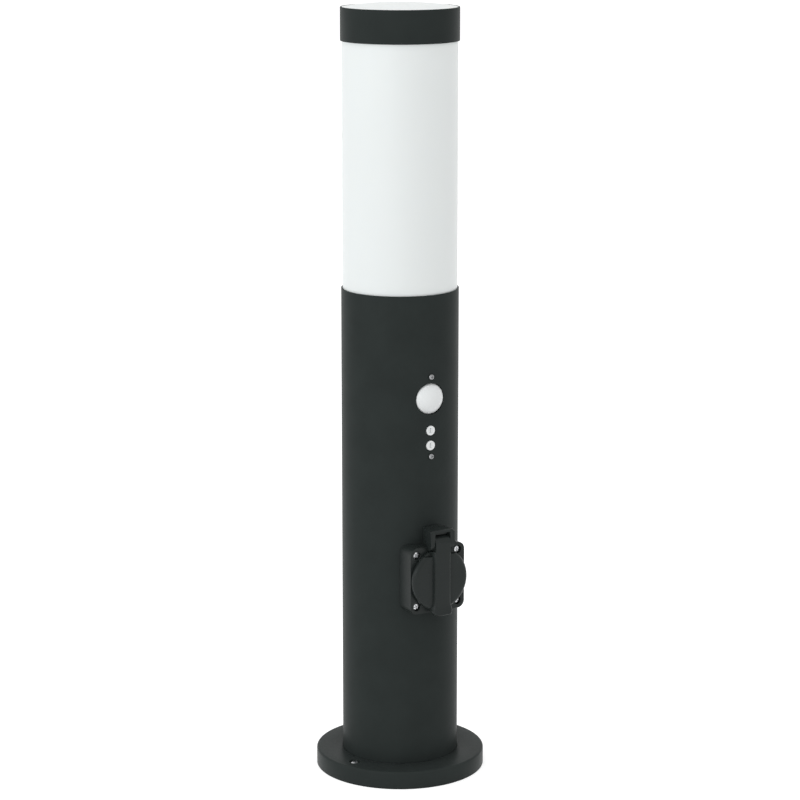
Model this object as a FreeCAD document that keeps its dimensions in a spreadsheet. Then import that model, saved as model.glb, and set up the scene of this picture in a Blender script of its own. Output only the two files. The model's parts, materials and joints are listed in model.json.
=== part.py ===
import FreeCAD, Part
import math
import os
import Sketcher

# Bollard light with a motion sensor and a covered mains outlet, in millimetres.
# A round cast foot carries a thin-walled steel tube. An opal cup with a metal band round its top
# drops into the upper end of the tube over an E27 lamp. The front of the tube, which faces -Y, holds the
# sensor with its two trim knobs and, below it, an outlet on a saddle with a sprung lid.
# The origin is on the post's axis at the ground, and +Z is up.
# Front pieces are drawn in a frame of their own: x across, y up and z out from the post's axis.

SIZES = {
    # Foot
    "base_d": 111.0,
    "base_tall": 11.6,
    "base_roof": 4.2,
    "base_skirt": 4.0,
    "base_edge": 1.2,
    "seat_deep": 1.5,
    "hub_gap": 0.49,
    "hub_wall": 2.5,
    "rib_wall": 2.4,
    "rib_lift": 1.0,
    "rib_count": 6,
    "ground_inset": 10.2,
    "ground_angle": 17.9,
    "ground_hole_d": 5.2,
    "ground_sink_d": 7.6,
    "ground_sink_deep": 3.2,
    "ground_boss_d": 12.0,
    # Post tube and the ring welded into its lower end
    "post_d": 76.0,
    "post_wall": 0.8,
    "post_top": 321.7,
    "ring_wide": 13.2,
    "ring_tall": 5.0,
    "foot_screw_inset": 7.2,
    "foot_screw_d": 4.0,
    "foot_head_d": 7.6,
    "foot_head_tall": 2.6,
    "foot_screw_long": 7.0,
    # Cable gland in the foot
    "gland_thread_d": 20.0,
    "gland_thread_long": 8.6,
    "gland_flange_wide": 24.0,
    "gland_flange_tall": 4.0,
    "gland_neck_d": 18.4,
    "gland_neck_tall": 8.0,
    "gland_bore_d": 12.6,
    "gland_seal_bore": 8.5,
    "gland_seal_long": 10.0,
    "gland_nut_wide": 23.0,
    "gland_nut_tall": 12.7,
    "gland_nut_mouth": 10.0,
    "gland_nut_step": 0.5,
    "locknut_wide": 26.0,
    "locknut_tall": 4.5,
    # Supply terminals on their bracket
    "bracket_wide": 24.0,
    "bracket_sheet": 1.5,
    "bracket_inset": 3.2,
    "bracket_foot": 12.0,
    "bracket_tall": 58.0,
    "block_wide": 28.0,
    "block_deep": 14.0,
    "block_tall": 18.0,
    "block_lift": 22.0,
    "block_corner": 0.9,
    "pole_pitch": 9.0,
    "pole_hole_d": 4.4,
    "pole_hole_deep": 4.0,
    "wire_port_d": 3.6,
    "small_screw_d": 4.0,
    "small_head_d": 7.0,
    "small_head_tall": 2.2,
    # Outlet on the front of the post
    "socket_up": 138.0,
    "plate_side": 0.1,
    "plate_over": 1.8,
    "plate_corner": 4.8,
    "plate_stand": 8.6,
    "plate_round": 1.5,
    "gasket_thick": 0.8,
    "well_d": 38.8,
    "well_taper": 1.1,
    "well_mouth_deep": 2.0,
    "well_deep": 17.5,
    "cup_wall": 0.8,
    "cup_back": 2.0,
    "collar_tall": 1.0,
    "window_wide": 10.0,
    "window_tall": 18.0,
    "plug_pitch": 19.0,
    "plug_hole_d": 5.2,
    "plug_face_thick": 2.2,
    "core_long": 13.1,
    "sleeve_bore": 4.9,
    "sleeve_d": 7.2,
    "clamp_side": 7.6,
    "clamp_long": 8.5,
    "sleeve_slit_up": 1.0,
    "strap_wide": 7.0,
    "strap_thick": 0.75,
    "strap_reach": 12.8,
    "core_screw_d": 3.4,
    "core_head_d": 6.2,
    "core_head_tall": 2.3,
    "socket_screw_inset": 4.9,
    "socket_screw_d": 2.9,
    "socket_head_d": 5.2,
    "socket_head_tall": 1.7,
    "socket_sink": 3.3,
    "socket_screw_long": 15.0,
    # Hinge and lid of the outlet
    "hinge_rise": 2.2,
    "hinge_ahead": 0.3,
    "hinge_pin_d": 2.5,
    "cheek_round": 4.3,
    "cheek_wall": 3.2,
    "cheek_taper": 3.0,
    "lip_wall": 1.7,
    "lip_gap": 2.2,
    "lid_overlap": 0.6,
    "lid_gap": 0.7,
    "lid_thick": 3.0,
    "lid_rim_tall": 1.3,
    "lid_rim_lean": 0.6,
    "lid_shoulder": 2.4,
    "lid_trim": 4.8,
    "lid_flange_wide": 3.2,
    "lid_flange_thick": 0.9,
    "lid_boss_tall": 1.6,
    "seal_thick": 0.6,
    "seal_tall": 1.8,
    "bar_wide": 11.0,
    "bar_out": 5.3,
    "bar_step": 0.3,
    "knuckle_back": 3.2,
    "tab_in": 4.8,
    "tab_over": 2.3,
    "tab_flare": 1.0,
    "tab_widen": 1.3,
    "tab_thick": 2.6,
    "tab_corner": 3.0,
    "spring_wire": 0.7,
    "spring_play": 0.6,
    "spring_turns": 3.5,
    "spring_pitch": 1.15,
    "spring_side": 0.44,
    "spring_clear": 0.9,
    # Motion sensor behind the tube wall
    "lens_drop": 67.1,
    "lens_d": 19.9,
    "lens_gap": 0.35,
    "lens_rim_in": 1.6,
    "lens_rise": 4.1,
    "lens_wall": 0.8,
    "lens_flange_wide": 1.25,
    "lens_flange_thick": 1.2,
    "time_drop": 20.7,
    "lux_drop": 9.8,
    "knob_d": 6.8,
    "knob_proud": 0.1,
    "knob_collar_wide": 0.6,
    "knob_collar_thick": 1.0,
    "knob_stem_d": 3.0,
    "knob_dimple_d": 3.4,
    "knob_dimple_deep": 0.5,
    "knob_slot": 0.8,
    "sensor_screw_d": 2.4,
    "sensor_head_d": 3.6,
    "sensor_head_tall": 1.4,
    "sensor_screw_long": 9.0,
    "case_wide": 26.0,
    "case_margin": 6.0,
    "case_wall": 1.6,
    "case_front_wall": 3.18,
    "case_deep": 21.4,
    "case_gasket": 0.6,
    "case_corner": 3.0,
    "boss_d": 5.6,
    "boss_gap_high": 0.4,
    "boss_gap_low": 0.3,
    "board_back": 9.4,
    "board_thick": 1.6,
    "board_gap": 0.4,
    "pir_d": 8.1,
    "pir_tall": 4.2,
    "pir_rim_d": 9.2,
    "pir_rim_tall": 0.5,
    "pir_window_deep": 0.3,
    "pot_side": 6.6,
    "pot_tall": 5.0,
    "relay_wide": 15.0,
    "relay_tall": 19.0,
    "relay_drop": 11.6,
    "relay_gap": 0.5,
    # Lamp carrier, lampholder and lamp
    "carrier_drop": 23.7,
    "carrier_sheet": 2.0,
    "carrier_collar_gap": 0.8,
    "carrier_collar_wall": 2.8,
    "carrier_collar_tall": 15.0,
    "carrier_collar_bevel": 1.0,
    "cable_hole_d": 10.8,
    "cable_hole_inset": 7.2,
    "ring_wire": 1.8,
    "ring_up": 8.0,
    "lug_wide": 10.0,
    "lug_sheet": 3.0,
    "lug_leg": 12.0,
    "lug_screw_inset": 5.4,
    "lug_screw_edge": 5.0,
    "screw_past": 3.0,
    "thread_short": 1.0,
    "holder_d": 37.0,
    "holder_rim_d": 40.0,
    "holder_tall": 42.0,
    "holder_rim_tall": 12.0,
    "holder_rim_bevel": 1.0,
    "holder_bore": 28.8,
    "holder_floor": 6.0,
    "holder_screw_pitch": 22.0,
    "shell_wall": 0.6,
    "shell_tall": 27.0,
    "shell_lip": 2.0,
    "contact_long": 15.0,
    "contact_wide": 5.9,
    "contact_tip": 3.0,
    "lamp_rise": 8.0,
    "lamp_cap_tall": 22.0,
    "thread_play": 0.5,
    "thread_pitch": 3.6,
    "thread_deep": 0.5,
    "lamp_body_tall": 37.0,
    "lamp_neck_step": 0.3,
    "lamp_shoulder_tall": 2.0,
    "globe_d": 60.0,
    # Opal cup and the band round its top
    "cup_gap": 0.2,
    "cup_side": 2.0,
    "cup_top": 2.2,
    "head_show": 179.2,
    "crown": 3.8,
    "band_wall": 0.95,
    "band_tall": 21.2,
    "band_lip": 1.0,
    "band_lip_wide": 1.75,
    "band_edge": 0.35,
    # Clearances
    "seat_gap": 0.02,
    "run_gap": 0.06,
    "slip_gap": 0.1,
    "soft_gap": 0.3,
}

# How far a cut runs past the face that it opens
PAST = 1.0

NODES = []


class Size(float):
    """A number that carries the spreadsheet expression it is worked out from."""

    def __new__(cls, value, text):
        number = super().__new__(cls, value)
        number.text = text
        return number

    def __add__(self, other):
        return joined(self, "+", other)

    def __radd__(self, other):
        return joined(other, "+", self)

    def __sub__(self, other):
        return joined(self, "-", other)

    def __rsub__(self, other):
        return joined(other, "-", self)

    def __mul__(self, other):
        return joined(self, "*", other)

    def __rmul__(self, other):
        return joined(other, "*", self)

    def __truediv__(self, other):
        return joined(self, "/", other)

    def __neg__(self):
        return joined(0.0, "-", self)


def text_of(value):
    return value.text if isinstance(value, Size) else repr(float(value))


def joined(left, sign, right):
    a = float(left)
    b = float(right)
    value = {"+": a + b, "-": a - b, "*": a * b, "/": a / b if b else 0.0}[sign]
    return Size(value, f"({text_of(left)}{sign}{text_of(right)})")


def cosine(angle):
    return Size(math.cos(math.radians(angle)), f"cos({text_of(angle)})")


def sine(angle):
    return Size(math.sin(math.radians(angle)), f"sin({text_of(angle)})")


def bind(target, prop, value):
    target.setExpression(prop, text_of(value))


doc = FreeCAD.newDocument("BollardLight")
sheet = doc.addObject("Spreadsheet::Sheet", "Sizes")
for row, (alias, amount) in enumerate(SIZES.items(), start=1):
    sheet.set(f"A{row}", alias)
    sheet.set(f"B{row}", str(amount))
    sheet.setAlias(f"B{row}", alias)
doc.recompute()


class Sheet:
    """Gives each driving size by its name, as a Size bound to its cell."""

    def __getattr__(self, name):
        return Size(SIZES[name], f"Sizes.{name}")


s = Sheet()


class Outline:
    """A sketch whose points are held by distances from the origin, each bound to the sheet."""

    def __init__(self, body, plane, offset):
        self.sketch = body.newObject("Sketcher::SketchObject", "Outline")
        role = plane + "_Plane"
        face = next(item for item in body.Origin.OriginFeatures if item.Role == role)
        self.sketch.AttachmentSupport = [(face, "")]
        self.sketch.MapMode = "FlatFace"
        bind(self.sketch, "AttachmentOffset.Base.z", offset)

    def hold(self, kind, geometry, point, value):
        number = self.sketch.addConstraint(Sketcher.Constraint(kind, -1, 1, geometry, point, float(value)))
        bind(self.sketch, f"Constraints[{number}]", value)

    def radius(self, geometry, value):
        number = self.sketch.addConstraint(Sketcher.Constraint("Radius", geometry, float(value)))
        bind(self.sketch, f"Constraints[{number}]", value)

    def circle(self, x, y, r):
        centre = FreeCAD.Vector(x, y, 0)
        number = self.sketch.addGeometry(Part.Circle(centre, FreeCAD.Vector(0, 0, 1), float(r)), False)
        self.hold("DistanceX", number, 3, x)
        self.hold("DistanceY", number, 3, y)
        self.radius(number, r)
        return self

    def path(self, *points):
        """A closed outline through (x, y) points. A point (x, y, r) is reached by an arc of radius r,
        which turns left where r is positive and right where it is negative."""
        ends = []
        for index, point in enumerate(points):
            start = points[index - 1]
            a = FreeCAD.Vector(start[0], start[1], 0)
            b = FreeCAD.Vector(point[0], point[1], 0)
            if len(point) == 2:
                number = self.sketch.addGeometry(Part.LineSegment(a, b), False)
                ends.append((number, 1, 2))
                continue
            r = point[2]
            left = r > 0
            r = r if left else -r
            chord = b - a
            rise = math.sqrt(max(float(r) ** 2 - (chord.Length / 2) ** 2, 0.0))
            across = FreeCAD.Vector(-chord.y, chord.x, 0).normalize()
            centre = (a + b) * 0.5 + across * (rise if left else -rise)
            low, high = (a, b) if left else (b, a)
            turn = [math.atan2(end.y - centre.y, end.x - centre.x) for end in (low, high)]
            circle = Part.Circle(centre, FreeCAD.Vector(0, 0, 1), float(r))
            number = self.sketch.addGeometry(Part.ArcOfCircle(circle, turn[0], turn[1]), False)
            self.radius(number, r)
            ends.append((number, 1, 2) if left else (number, 2, 1))
        for index, (number, first, last) in enumerate(ends):
            after, after_first, after_last = ends[(index + 1) % len(ends)]
            self.sketch.addConstraint(Sketcher.Constraint("Coincident", number, last, after, after_first))
            self.hold("DistanceX", number, last, points[index][0])
            self.hold("DistanceY", number, last, points[index][1])
        return self

    def box(self, x0, x1, y0, y1):
        return self.path((x0, y0), (x1, y0), (x1, y1), (x0, y1))

    def round_box(self, x0, x1, y0, y1, r):
        return self.path(
            (x0 + r, y0, r),
            (x1 - r, y0),
            (x1, y0 + r, r),
            (x1, y1 - r),
            (x1 - r, y1, r),
            (x0 + r, y1),
            (x0, y1 - r, r),
            (x0, y0 + r),
        )

    def hexagon(self, wide):
        reach = wide / math.sqrt(3)
        corners = [(reach * cosine(60.0 * k), reach * sine(60.0 * k)) for k in range(6)]
        return self.path(*corners)

    def cross(self, wide, reach):
        w = wide / 2
        return self.path(
            (-w, -reach), (w, -reach), (w, -w), (reach, -w), (reach, w), (w, w),
            (w, reach), (-w, reach), (-w, w), (-reach, w), (-reach, -w), (-w, -w),
        )


class Piece:
    """One body. It stands upright, or faces the front with its z axis pointing out at -Y."""

    def __init__(self, label, up=0.0, front=False, turned=0.0, node=True):
        self.body = doc.addObject("PartDesign::Body", label)
        self.body.Label = label
        self.cuts = []
        if front:
            self.body.Placement = FreeCAD.Placement(
                FreeCAD.Vector(0, 0, 0), FreeCAD.Rotation(FreeCAD.Vector(1, 0, 0), 90)
            )
        if float(turned):
            bind(self.body, "Placement.Rotation.Angle", turned)
        bind(self.body, "Placement.Base.z", up)
        if node:
            NODES.append(self.body)

    def feature(self, kind, outline):
        made = self.body.newObject("PartDesign::" + kind, kind)
        made.Profile = outline.sketch
        return made

    def outline_for(self, plane, low, high, adds):
        """The sketch plane for a span from low to high along the plane's own row axis."""
        if plane == "XZ":
            return Outline(self.body, plane, -high if adds else -low)
        return Outline(self.body, plane, low if adds else high)

    def add(self, plane, low, high, draw):
        outline = self.outline_for(plane, low, high, True)
        draw(outline)
        made = self.feature("Pad", outline)
        bind(made, "Length", high - low)
        return made

    def cut(self, plane, low, high, draw):
        outline = self.outline_for(plane, low, high, False)
        draw(outline)
        made = self.feature("Pocket", outline)
        bind(made, "Length", high - low)
        self.cuts.append(made)
        return made

    def axis(self, made):
        z_axis = next(item for item in self.body.Origin.OriginFeatures if item.Role == "Z_Axis")
        made.ReferenceAxis = (z_axis, [""])
        made.Angle = 360

    def turn(self, *points):
        """A solid turned about z from (radius, height) points."""
        made = self.feature("Revolution", Outline(self.body, "XZ", 0.0).path(*points))
        self.axis(made)
        return made

    def groove(self, *points):
        made = self.feature("Groove", Outline(self.body, "XZ", 0.0).path(*points))
        self.axis(made)
        self.cuts.append(made)
        return made

    def polar(self, made, count):
        pattern = self.body.newObject("PartDesign::PolarPattern", "PolarPattern")
        pattern.Originals = [made]
        z_axis = next(item for item in self.body.Origin.OriginFeatures if item.Role == "Z_Axis")
        pattern.Axis = (z_axis, [""])
        pattern.Angle = 360
        bind(pattern, "Occurrences", count)
        self.body.Tip = pattern
        return pattern

    def round(self, radius, chosen, kind="Fillet"):
        """Rounds or bevels the edges for which chosen(edge) is true."""
        doc.recompute()
        base = self.body.Tip
        names = [f"Edge{k}" for k, edge in enumerate(base.Shape.Edges, start=1) if chosen(edge)]
        made = self.body.newObject("PartDesign::" + kind, kind)
        made.Base = (base, names)
        bind(made, "Radius" if kind == "Fillet" else "Size", radius)
        self.body.Tip = made
        return made


def spots(label, piece, places, facing="up"):
    """One node of like solids: the piece, linked once at each (x, y, z)."""
    turn = {
        "up": FreeCAD.Rotation(),
        "down": FreeCAD.Rotation(FreeCAD.Vector(1, 0, 0), 180),
        "front": FreeCAD.Rotation(FreeCAD.Vector(1, 0, 0), 90),
    }[facing]
    links = []
    for place in places:
        link = doc.addObject("App::Link", label + "_one")
        link.LinkedObject = piece.body
        link.Placement = FreeCAD.Placement(FreeCAD.Vector(0, 0, 0), turn)
        for letter, value in zip("xyz", place):
            bind(link, "Placement.Base." + letter, value)
        links.append(link)
    group = doc.addObject("Part::Compound", label)
    group.Label = label
    group.Links = links
    NODES.append(group)
    return group


def on_circle(r, angles, z):
    return [(r * cosine(angle), r * sine(angle), z) for angle in angles]


def screw(label, shank_d, length, head_d, head_tall):
    """A pan head screw with a cross recess. Its origin is under the head, which points along +z."""
    piece = Piece(label, node=False)
    shank = shank_d / 2
    head = head_d / 2
    crown = head_tall / 2
    piece.turn(
        (0.0, -length),
        (shank * 0.6, -length),
        (shank, shank * 0.4 - length),
        (shank, 0.0),
        (head, 0.0),
        (head, head_tall - crown),
        (head - crown, head_tall, crown),
        (0.0, head_tall),
    )
    piece.cut("XY", head_tall * 0.45, head_tall, lambda o: o.cross(head_d * 0.15, head * 0.6))
    return piece


# Levels and radii that several pieces share
base_r = s.base_d / 2
ground_r = base_r - s.ground_inset
hub_r = s.locknut_wide / math.sqrt(3) + s.hub_gap
roof_under = s.base_tall - s.base_roof
seat_up = s.base_tall - s.seat_deep
post_r = s.post_d / 2
post_inner_r = post_r - s.post_wall
ring_top = seat_up + s.ring_tall
foot_screw_at = post_inner_r - s.foot_screw_inset
foot_angles = [60.0 + 120.0 * k for k in range(3)]
bracket_out = post_inner_r - s.bracket_inset - s.bracket_foot
bracket_screw_out = bracket_out + s.bracket_foot / 2 + s.bracket_sheet

well_r = s.well_d / 2
well_floor_r = well_r - s.well_taper
collar_r = well_r + s.cup_wall
socket_cup_r = well_floor_r + s.cup_wall
plate_half = collar_r + s.plate_side
plate_half_tall = collar_r + s.plate_over
plate_face = post_r + s.plate_stand
collar_out = plate_face + s.collar_tall
core_face = collar_out - s.well_deep
core_back = core_face - s.core_long
core_head_seat = core_face - s.core_head_tall - s.soft_gap
strap_back = core_back - s.strap_thick - s.seat_gap * 2
strap_leg_r = well_floor_r - s.soft_gap * 2
saddle_r = post_r + s.gasket_thick + s.seat_gap
screw_x = plate_half - s.socket_screw_inset
screw_y = plate_half_tall - s.socket_screw_inset

lid_r = collar_r + s.lid_overlap
lid_back = collar_out + s.lid_gap
lid_face = lid_back + s.lid_thick
hinge_up = plate_half_tall + s.hinge_rise
hinge_out = lid_back + s.hinge_ahead
bar_face = hinge_out + s.bar_out
cheek_half = s.bar_wide / 2 + s.cheek_wall + s.slip_gap * 2
cheek_front = hinge_out + s.cheek_round
spring_mean_r = (s.hinge_pin_d + s.spring_wire) / 2 + s.spring_play

lens_r = s.lens_d / 2
lens_flange_r = lens_r + s.lens_flange_wide
knob_collar_r = s.knob_d / 2 + s.knob_collar_wide
knob_hole_r = s.knob_d / 2 + s.slip_gap
lens_up = s.post_top - s.lens_drop
time_up = lens_up - s.time_drop
lux_up = time_up - s.lux_drop
case_screw_high = lens_up + lens_flange_r + s.boss_d / 2 + s.boss_gap_high
case_screw_low = lux_up - knob_collar_r - s.boss_d / 2 - s.boss_gap_low
case_r = post_inner_r - s.case_gasket - s.seat_gap
case_low = case_screw_low - s.case_margin
case_high = case_screw_high + s.case_margin
case_inner_out = case_r - s.case_front_wall
case_back_out = case_inner_out - s.case_deep
board_out = case_inner_out - s.board_back
board_face = board_out + s.board_thick

carrier_up = s.post_top - s.carrier_drop
carrier_top = carrier_up + s.carrier_sheet
head_top = s.post_top + s.head_show
cup_r = post_inner_r - s.cup_gap
cup_inner_r = cup_r - s.cup_side
cup_low = carrier_top + s.slip_gap
cup_high = head_top - s.band_lip
band_r = cup_r + s.slip_gap + s.band_wall
carrier_collar_r = cup_inner_r - s.carrier_collar_gap
carrier_collar_in = carrier_collar_r - s.carrier_collar_wall
lug_screw_at = carrier_collar_in - s.lug_screw_inset
holder_floor_up = carrier_top + s.holder_floor
holder_high = carrier_top + s.holder_tall
shell_r = s.holder_bore / 2 - s.slip_gap
lamp_low = holder_floor_up + s.lamp_rise
lamp_cap_r = shell_r - s.shell_wall - s.thread_play


def cheek_side(out):
    """Half the width of the hinge block, which narrows from its front towards the tube."""
    return cheek_half - s.cheek_taper * (cheek_front - out) / (cheek_front - post_r)


def base_flange():
    """Cast foot: a shallow dish, open below, with ribs, a hub round the gland and two bosses."""
    piece = Piece("base_flange", turned=s.ground_angle)
    hole_r = s.gland_thread_d / 2 + s.slip_gap
    skirt_r = base_r - s.base_skirt
    seat_r = post_r + s.slip_gap
    piece.turn(
        (hole_r, roof_under),
        (skirt_r, roof_under),
        (skirt_r, 0.0),
        (base_r, 0.0),
        (base_r, s.base_tall - s.base_edge),
        (base_r - s.base_edge, s.base_tall, s.base_edge),
        (seat_r, s.base_tall),
        (seat_r, seat_up),
        (hole_r, seat_up),
    )
    overlap = s.seat_deep / 2
    piece.turn(
        (hub_r, s.rib_lift),
        (hub_r + s.hub_wall, s.rib_lift),
        (hub_r + s.hub_wall, roof_under + overlap),
        (hub_r, roof_under + overlap),
    )
    rib_half = s.rib_wall / 2
    rib_in = hub_r + s.hub_wall / 2
    rib_out = skirt_r + s.base_skirt / 2
    rib = piece.add(
        "XY", s.rib_lift, roof_under + overlap, lambda o: o.box(-rib_half, rib_half, rib_in, rib_out)
    )
    piece.polar(rib, s.rib_count)

    def at_ground_screws(outline, r):
        outline.circle(ground_r, 0.0, r)
        outline.circle(-ground_r, 0.0, r)

    def foot_holes(outline):
        for angle in foot_angles:
            x = foot_screw_at * cosine(angle)
            y = foot_screw_at * sine(angle)
            outline.circle(x, y, s.foot_screw_d / 2 + s.slip_gap)

    piece.add("XY", 0.0, roof_under + overlap, lambda o: at_ground_screws(o, s.ground_boss_d / 2))
    piece.cut("XY", -PAST, s.base_tall, lambda o: at_ground_screws(o, s.ground_hole_d / 2))
    sink_floor = s.base_tall - s.ground_sink_deep
    piece.cut("XY", sink_floor, s.base_tall, lambda o: at_ground_screws(o, s.ground_sink_d / 2))
    piece.cut("XY", roof_under - PAST, seat_up, foot_holes)


def post_tube():
    """Powder-coated steel tube with its openings for the sensor, the knobs, the outlet and their screws."""
    piece = Piece("post_tube")
    piece.turn(
        (post_inner_r, seat_up), (post_r, seat_up), (post_r, s.post_top), (post_inner_r, s.post_top)
    )

    def front_holes(outline):
        outline.circle(0.0, lens_up, lens_r + s.lens_gap)
        outline.circle(0.0, time_up, knob_hole_r + s.slip_gap)
        outline.circle(0.0, lux_up, knob_hole_r + s.slip_gap)
        outline.circle(0.0, case_screw_high, s.sensor_screw_d / 2 + s.slip_gap)
        outline.circle(0.0, case_screw_low, s.sensor_screw_d / 2 + s.slip_gap)
        outline.circle(0.0, s.socket_up, socket_cup_r + s.slip_gap)
        for side in (-1.0, 1.0):
            for rise in (-1.0, 1.0):
                up = s.socket_up + rise * screw_y
                outline.circle(side * screw_x, up, s.socket_screw_d / 2 + s.seat_gap)

    piece.cut("XZ", -post_r - PAST, -post_r / 2, front_holes)


def foot_ring():
    """Steel ring welded into the tube, tapped for the three screws from below and one on top."""
    piece = Piece("foot_ring", turned=s.ground_angle)
    outer = post_inner_r - s.seat_gap
    inner = post_inner_r - s.ring_wide
    piece.turn((inner, seat_up), (outer, seat_up), (outer, ring_top), (inner, ring_top))

    def holes(outline):
        for angle in foot_angles:
            x = foot_screw_at * cosine(angle)
            y = foot_screw_at * sine(angle)
            outline.circle(x, y, s.foot_screw_d / 2 + s.seat_gap)

    piece.cut("XY", seat_up - PAST, ring_top, holes)
    x = bracket_screw_out * sine(s.ground_angle)
    y = bracket_screw_out * cosine(s.ground_angle)
    piece.cut("XY", seat_up, ring_top, lambda o: o.circle(x, y, s.small_screw_d / 2 + s.seat_gap))


def foot_screws():
    one = screw("foot_screw", s.foot_screw_d, s.foot_screw_long, s.foot_head_d, s.foot_head_tall)
    angles = [s.ground_angle + angle for angle in foot_angles]
    spots("foot_screws", one, on_circle(foot_screw_at, angles, roof_under), "down")


def cable_gland():
    """The four pieces of the gland in the foot: body, sealing sleeve, domed nut and locknut."""
    thread_r = s.gland_thread_d / 2
    bore_r = s.gland_bore_d / 2
    neck_r = s.gland_neck_d / 2
    flange_top = seat_up + s.gland_flange_tall
    neck_top = flange_top + s.gland_neck_tall
    thread_low = seat_up - s.gland_thread_long

    body = Piece("gland_body")
    body.add("XY", seat_up, flange_top, lambda o: o.hexagon(s.gland_flange_wide))
    body.turn((0.0, thread_low), (thread_r, thread_low), (thread_r, seat_up), (0.0, seat_up))
    body.turn((0.0, flange_top), (neck_r, flange_top), (neck_r, neck_top), (0.0, neck_top))
    body.cut("XY", thread_low - PAST, neck_top, lambda o: o.circle(0.0, 0.0, bore_r))

    seal = Piece("gland_seal")
    seal_low = neck_top - s.gland_seal_long * 0.75
    seal_high = seal_low + s.gland_seal_long
    seal_r = bore_r - s.slip_gap
    seal.turn(
        (s.gland_seal_bore / 2, seal_low),
        (seal_r, seal_low),
        (seal_r, seal_high),
        (s.gland_seal_bore / 2, seal_high),
    )

    nut = Piece("gland_dome_nut")
    nut_low = flange_top + s.slip_gap
    nut_top = nut_low + s.gland_nut_tall
    hex_top = nut_low + s.gland_nut_tall * 0.6
    dome_r = s.gland_nut_wide / 2 - s.gland_nut_step
    dome_rise = nut_top - hex_top
    nut.add("XY", nut_low, hex_top, lambda o: o.hexagon(s.gland_nut_wide))
    nut.turn(
        (0.0, hex_top), (dome_r, hex_top), (dome_r - dome_rise, nut_top, dome_rise), (0.0, nut_top)
    )
    inner = neck_r + s.slip_gap
    inner_top = neck_top + s.slip_gap
    nut.groove((0.0, nut_low - PAST), (inner, nut_low - PAST), (inner, inner_top), (0.0, inner_top))
    over_seal = seal_high + s.slip_gap
    nut.groove(
        (0.0, inner_top - PAST),
        (bore_r, inner_top - PAST),
        (bore_r, over_seal),
        (s.gland_nut_mouth / 2, over_seal),
        (s.gland_nut_mouth / 2, nut_top + PAST),
        (0.0, nut_top + PAST),
    )

    lock = Piece("gland_locknut")
    low = roof_under - s.locknut_tall
    lock.add("XY", low, roof_under, lambda o: o.hexagon(s.locknut_wide))
    lock.cut("XY", low, roof_under, lambda o: o.circle(0.0, 0.0, thread_r + s.seat_gap))


def supply_terminals():
    """A bent bracket on the foot ring with the terminal block for the supply cable."""
    half = s.bracket_wide / 2
    out = bracket_out
    sheet_t = s.bracket_sheet
    foot_end = out + s.bracket_foot
    top = ring_top + s.bracket_tall
    block_low = ring_top + s.block_lift
    block_high = block_low + s.block_tall
    block_face = out - s.block_deep
    block_mid = (block_low + block_high) / 2
    earth_up = (block_high + top) / 2

    bracket = Piece("terminal_bracket")
    bracket.add(
        "YZ",
        -half,
        half,
        lambda o: o.path(
            (out, ring_top),
            (foot_end, ring_top),
            (foot_end, ring_top + sheet_t),
            (out + sheet_t, ring_top + sheet_t),
            (out + sheet_t, top),
            (out, top),
        ),
    )
    hole = s.small_screw_d / 2 + s.seat_gap
    bracket.cut("XY", ring_top, ring_top + sheet_t, lambda o: o.circle(0.0, bracket_screw_out, hole))
    bracket.cut("XZ", out, out + sheet_t, lambda o: o.circle(0.0, earth_up, hole))

    block = Piece("terminal_block")
    wide = s.block_wide / 2
    block.add(
        "XZ", block_face, out, lambda o: o.round_box(-wide, wide, block_low, block_high, s.block_corner)
    )
    rows = [block_mid - s.block_tall / 4, block_mid + s.block_tall / 4]
    poles = [s.pole_pitch * k for k in (-1.0, 0.0, 1.0)]

    def screw_holes(outline):
        for x in poles:
            for z in rows:
                outline.circle(x, z, s.pole_hole_d / 2)

    def ports(outline):
        for x in poles:
            outline.circle(x, out - s.block_deep / 2, s.wire_port_d / 2)

    block.cut("XZ", block_face, block_face + s.pole_hole_deep, screw_holes)
    block.cut("XY", block_high - s.block_tall / 4, block_high, ports)
    block.cut("XY", block_low, block_low + s.block_tall / 4, ports)

    pole_screw = Piece("pole_screw", node=False)
    pole_r = s.pole_hole_d / 2 - s.seat_gap
    pole_tall = s.pole_hole_deep / 2
    pole_screw.turn((0.0, 0.0), (pole_r, 0.0), (pole_r, pole_tall), (0.0, pole_tall))
    pole_screw.cut(
        "XY", pole_tall / 2, pole_tall, lambda o: o.box(-pole_r, pole_r, -pole_r / 5, pole_r / 5)
    )
    floor = block_face + s.pole_hole_deep
    spots("terminal_screws", pole_screw, [(x, floor, z) for x in poles for z in rows], "front")

    small = screw("small_screw", s.small_screw_d, s.ring_tall, s.small_head_d, s.small_head_tall)
    spots("bracket_screw", small, [(0.0, bracket_screw_out, ring_top + sheet_t)], "up")
    spots("earth_screw", small, [(0.0, out, earth_up)], "front")


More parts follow.
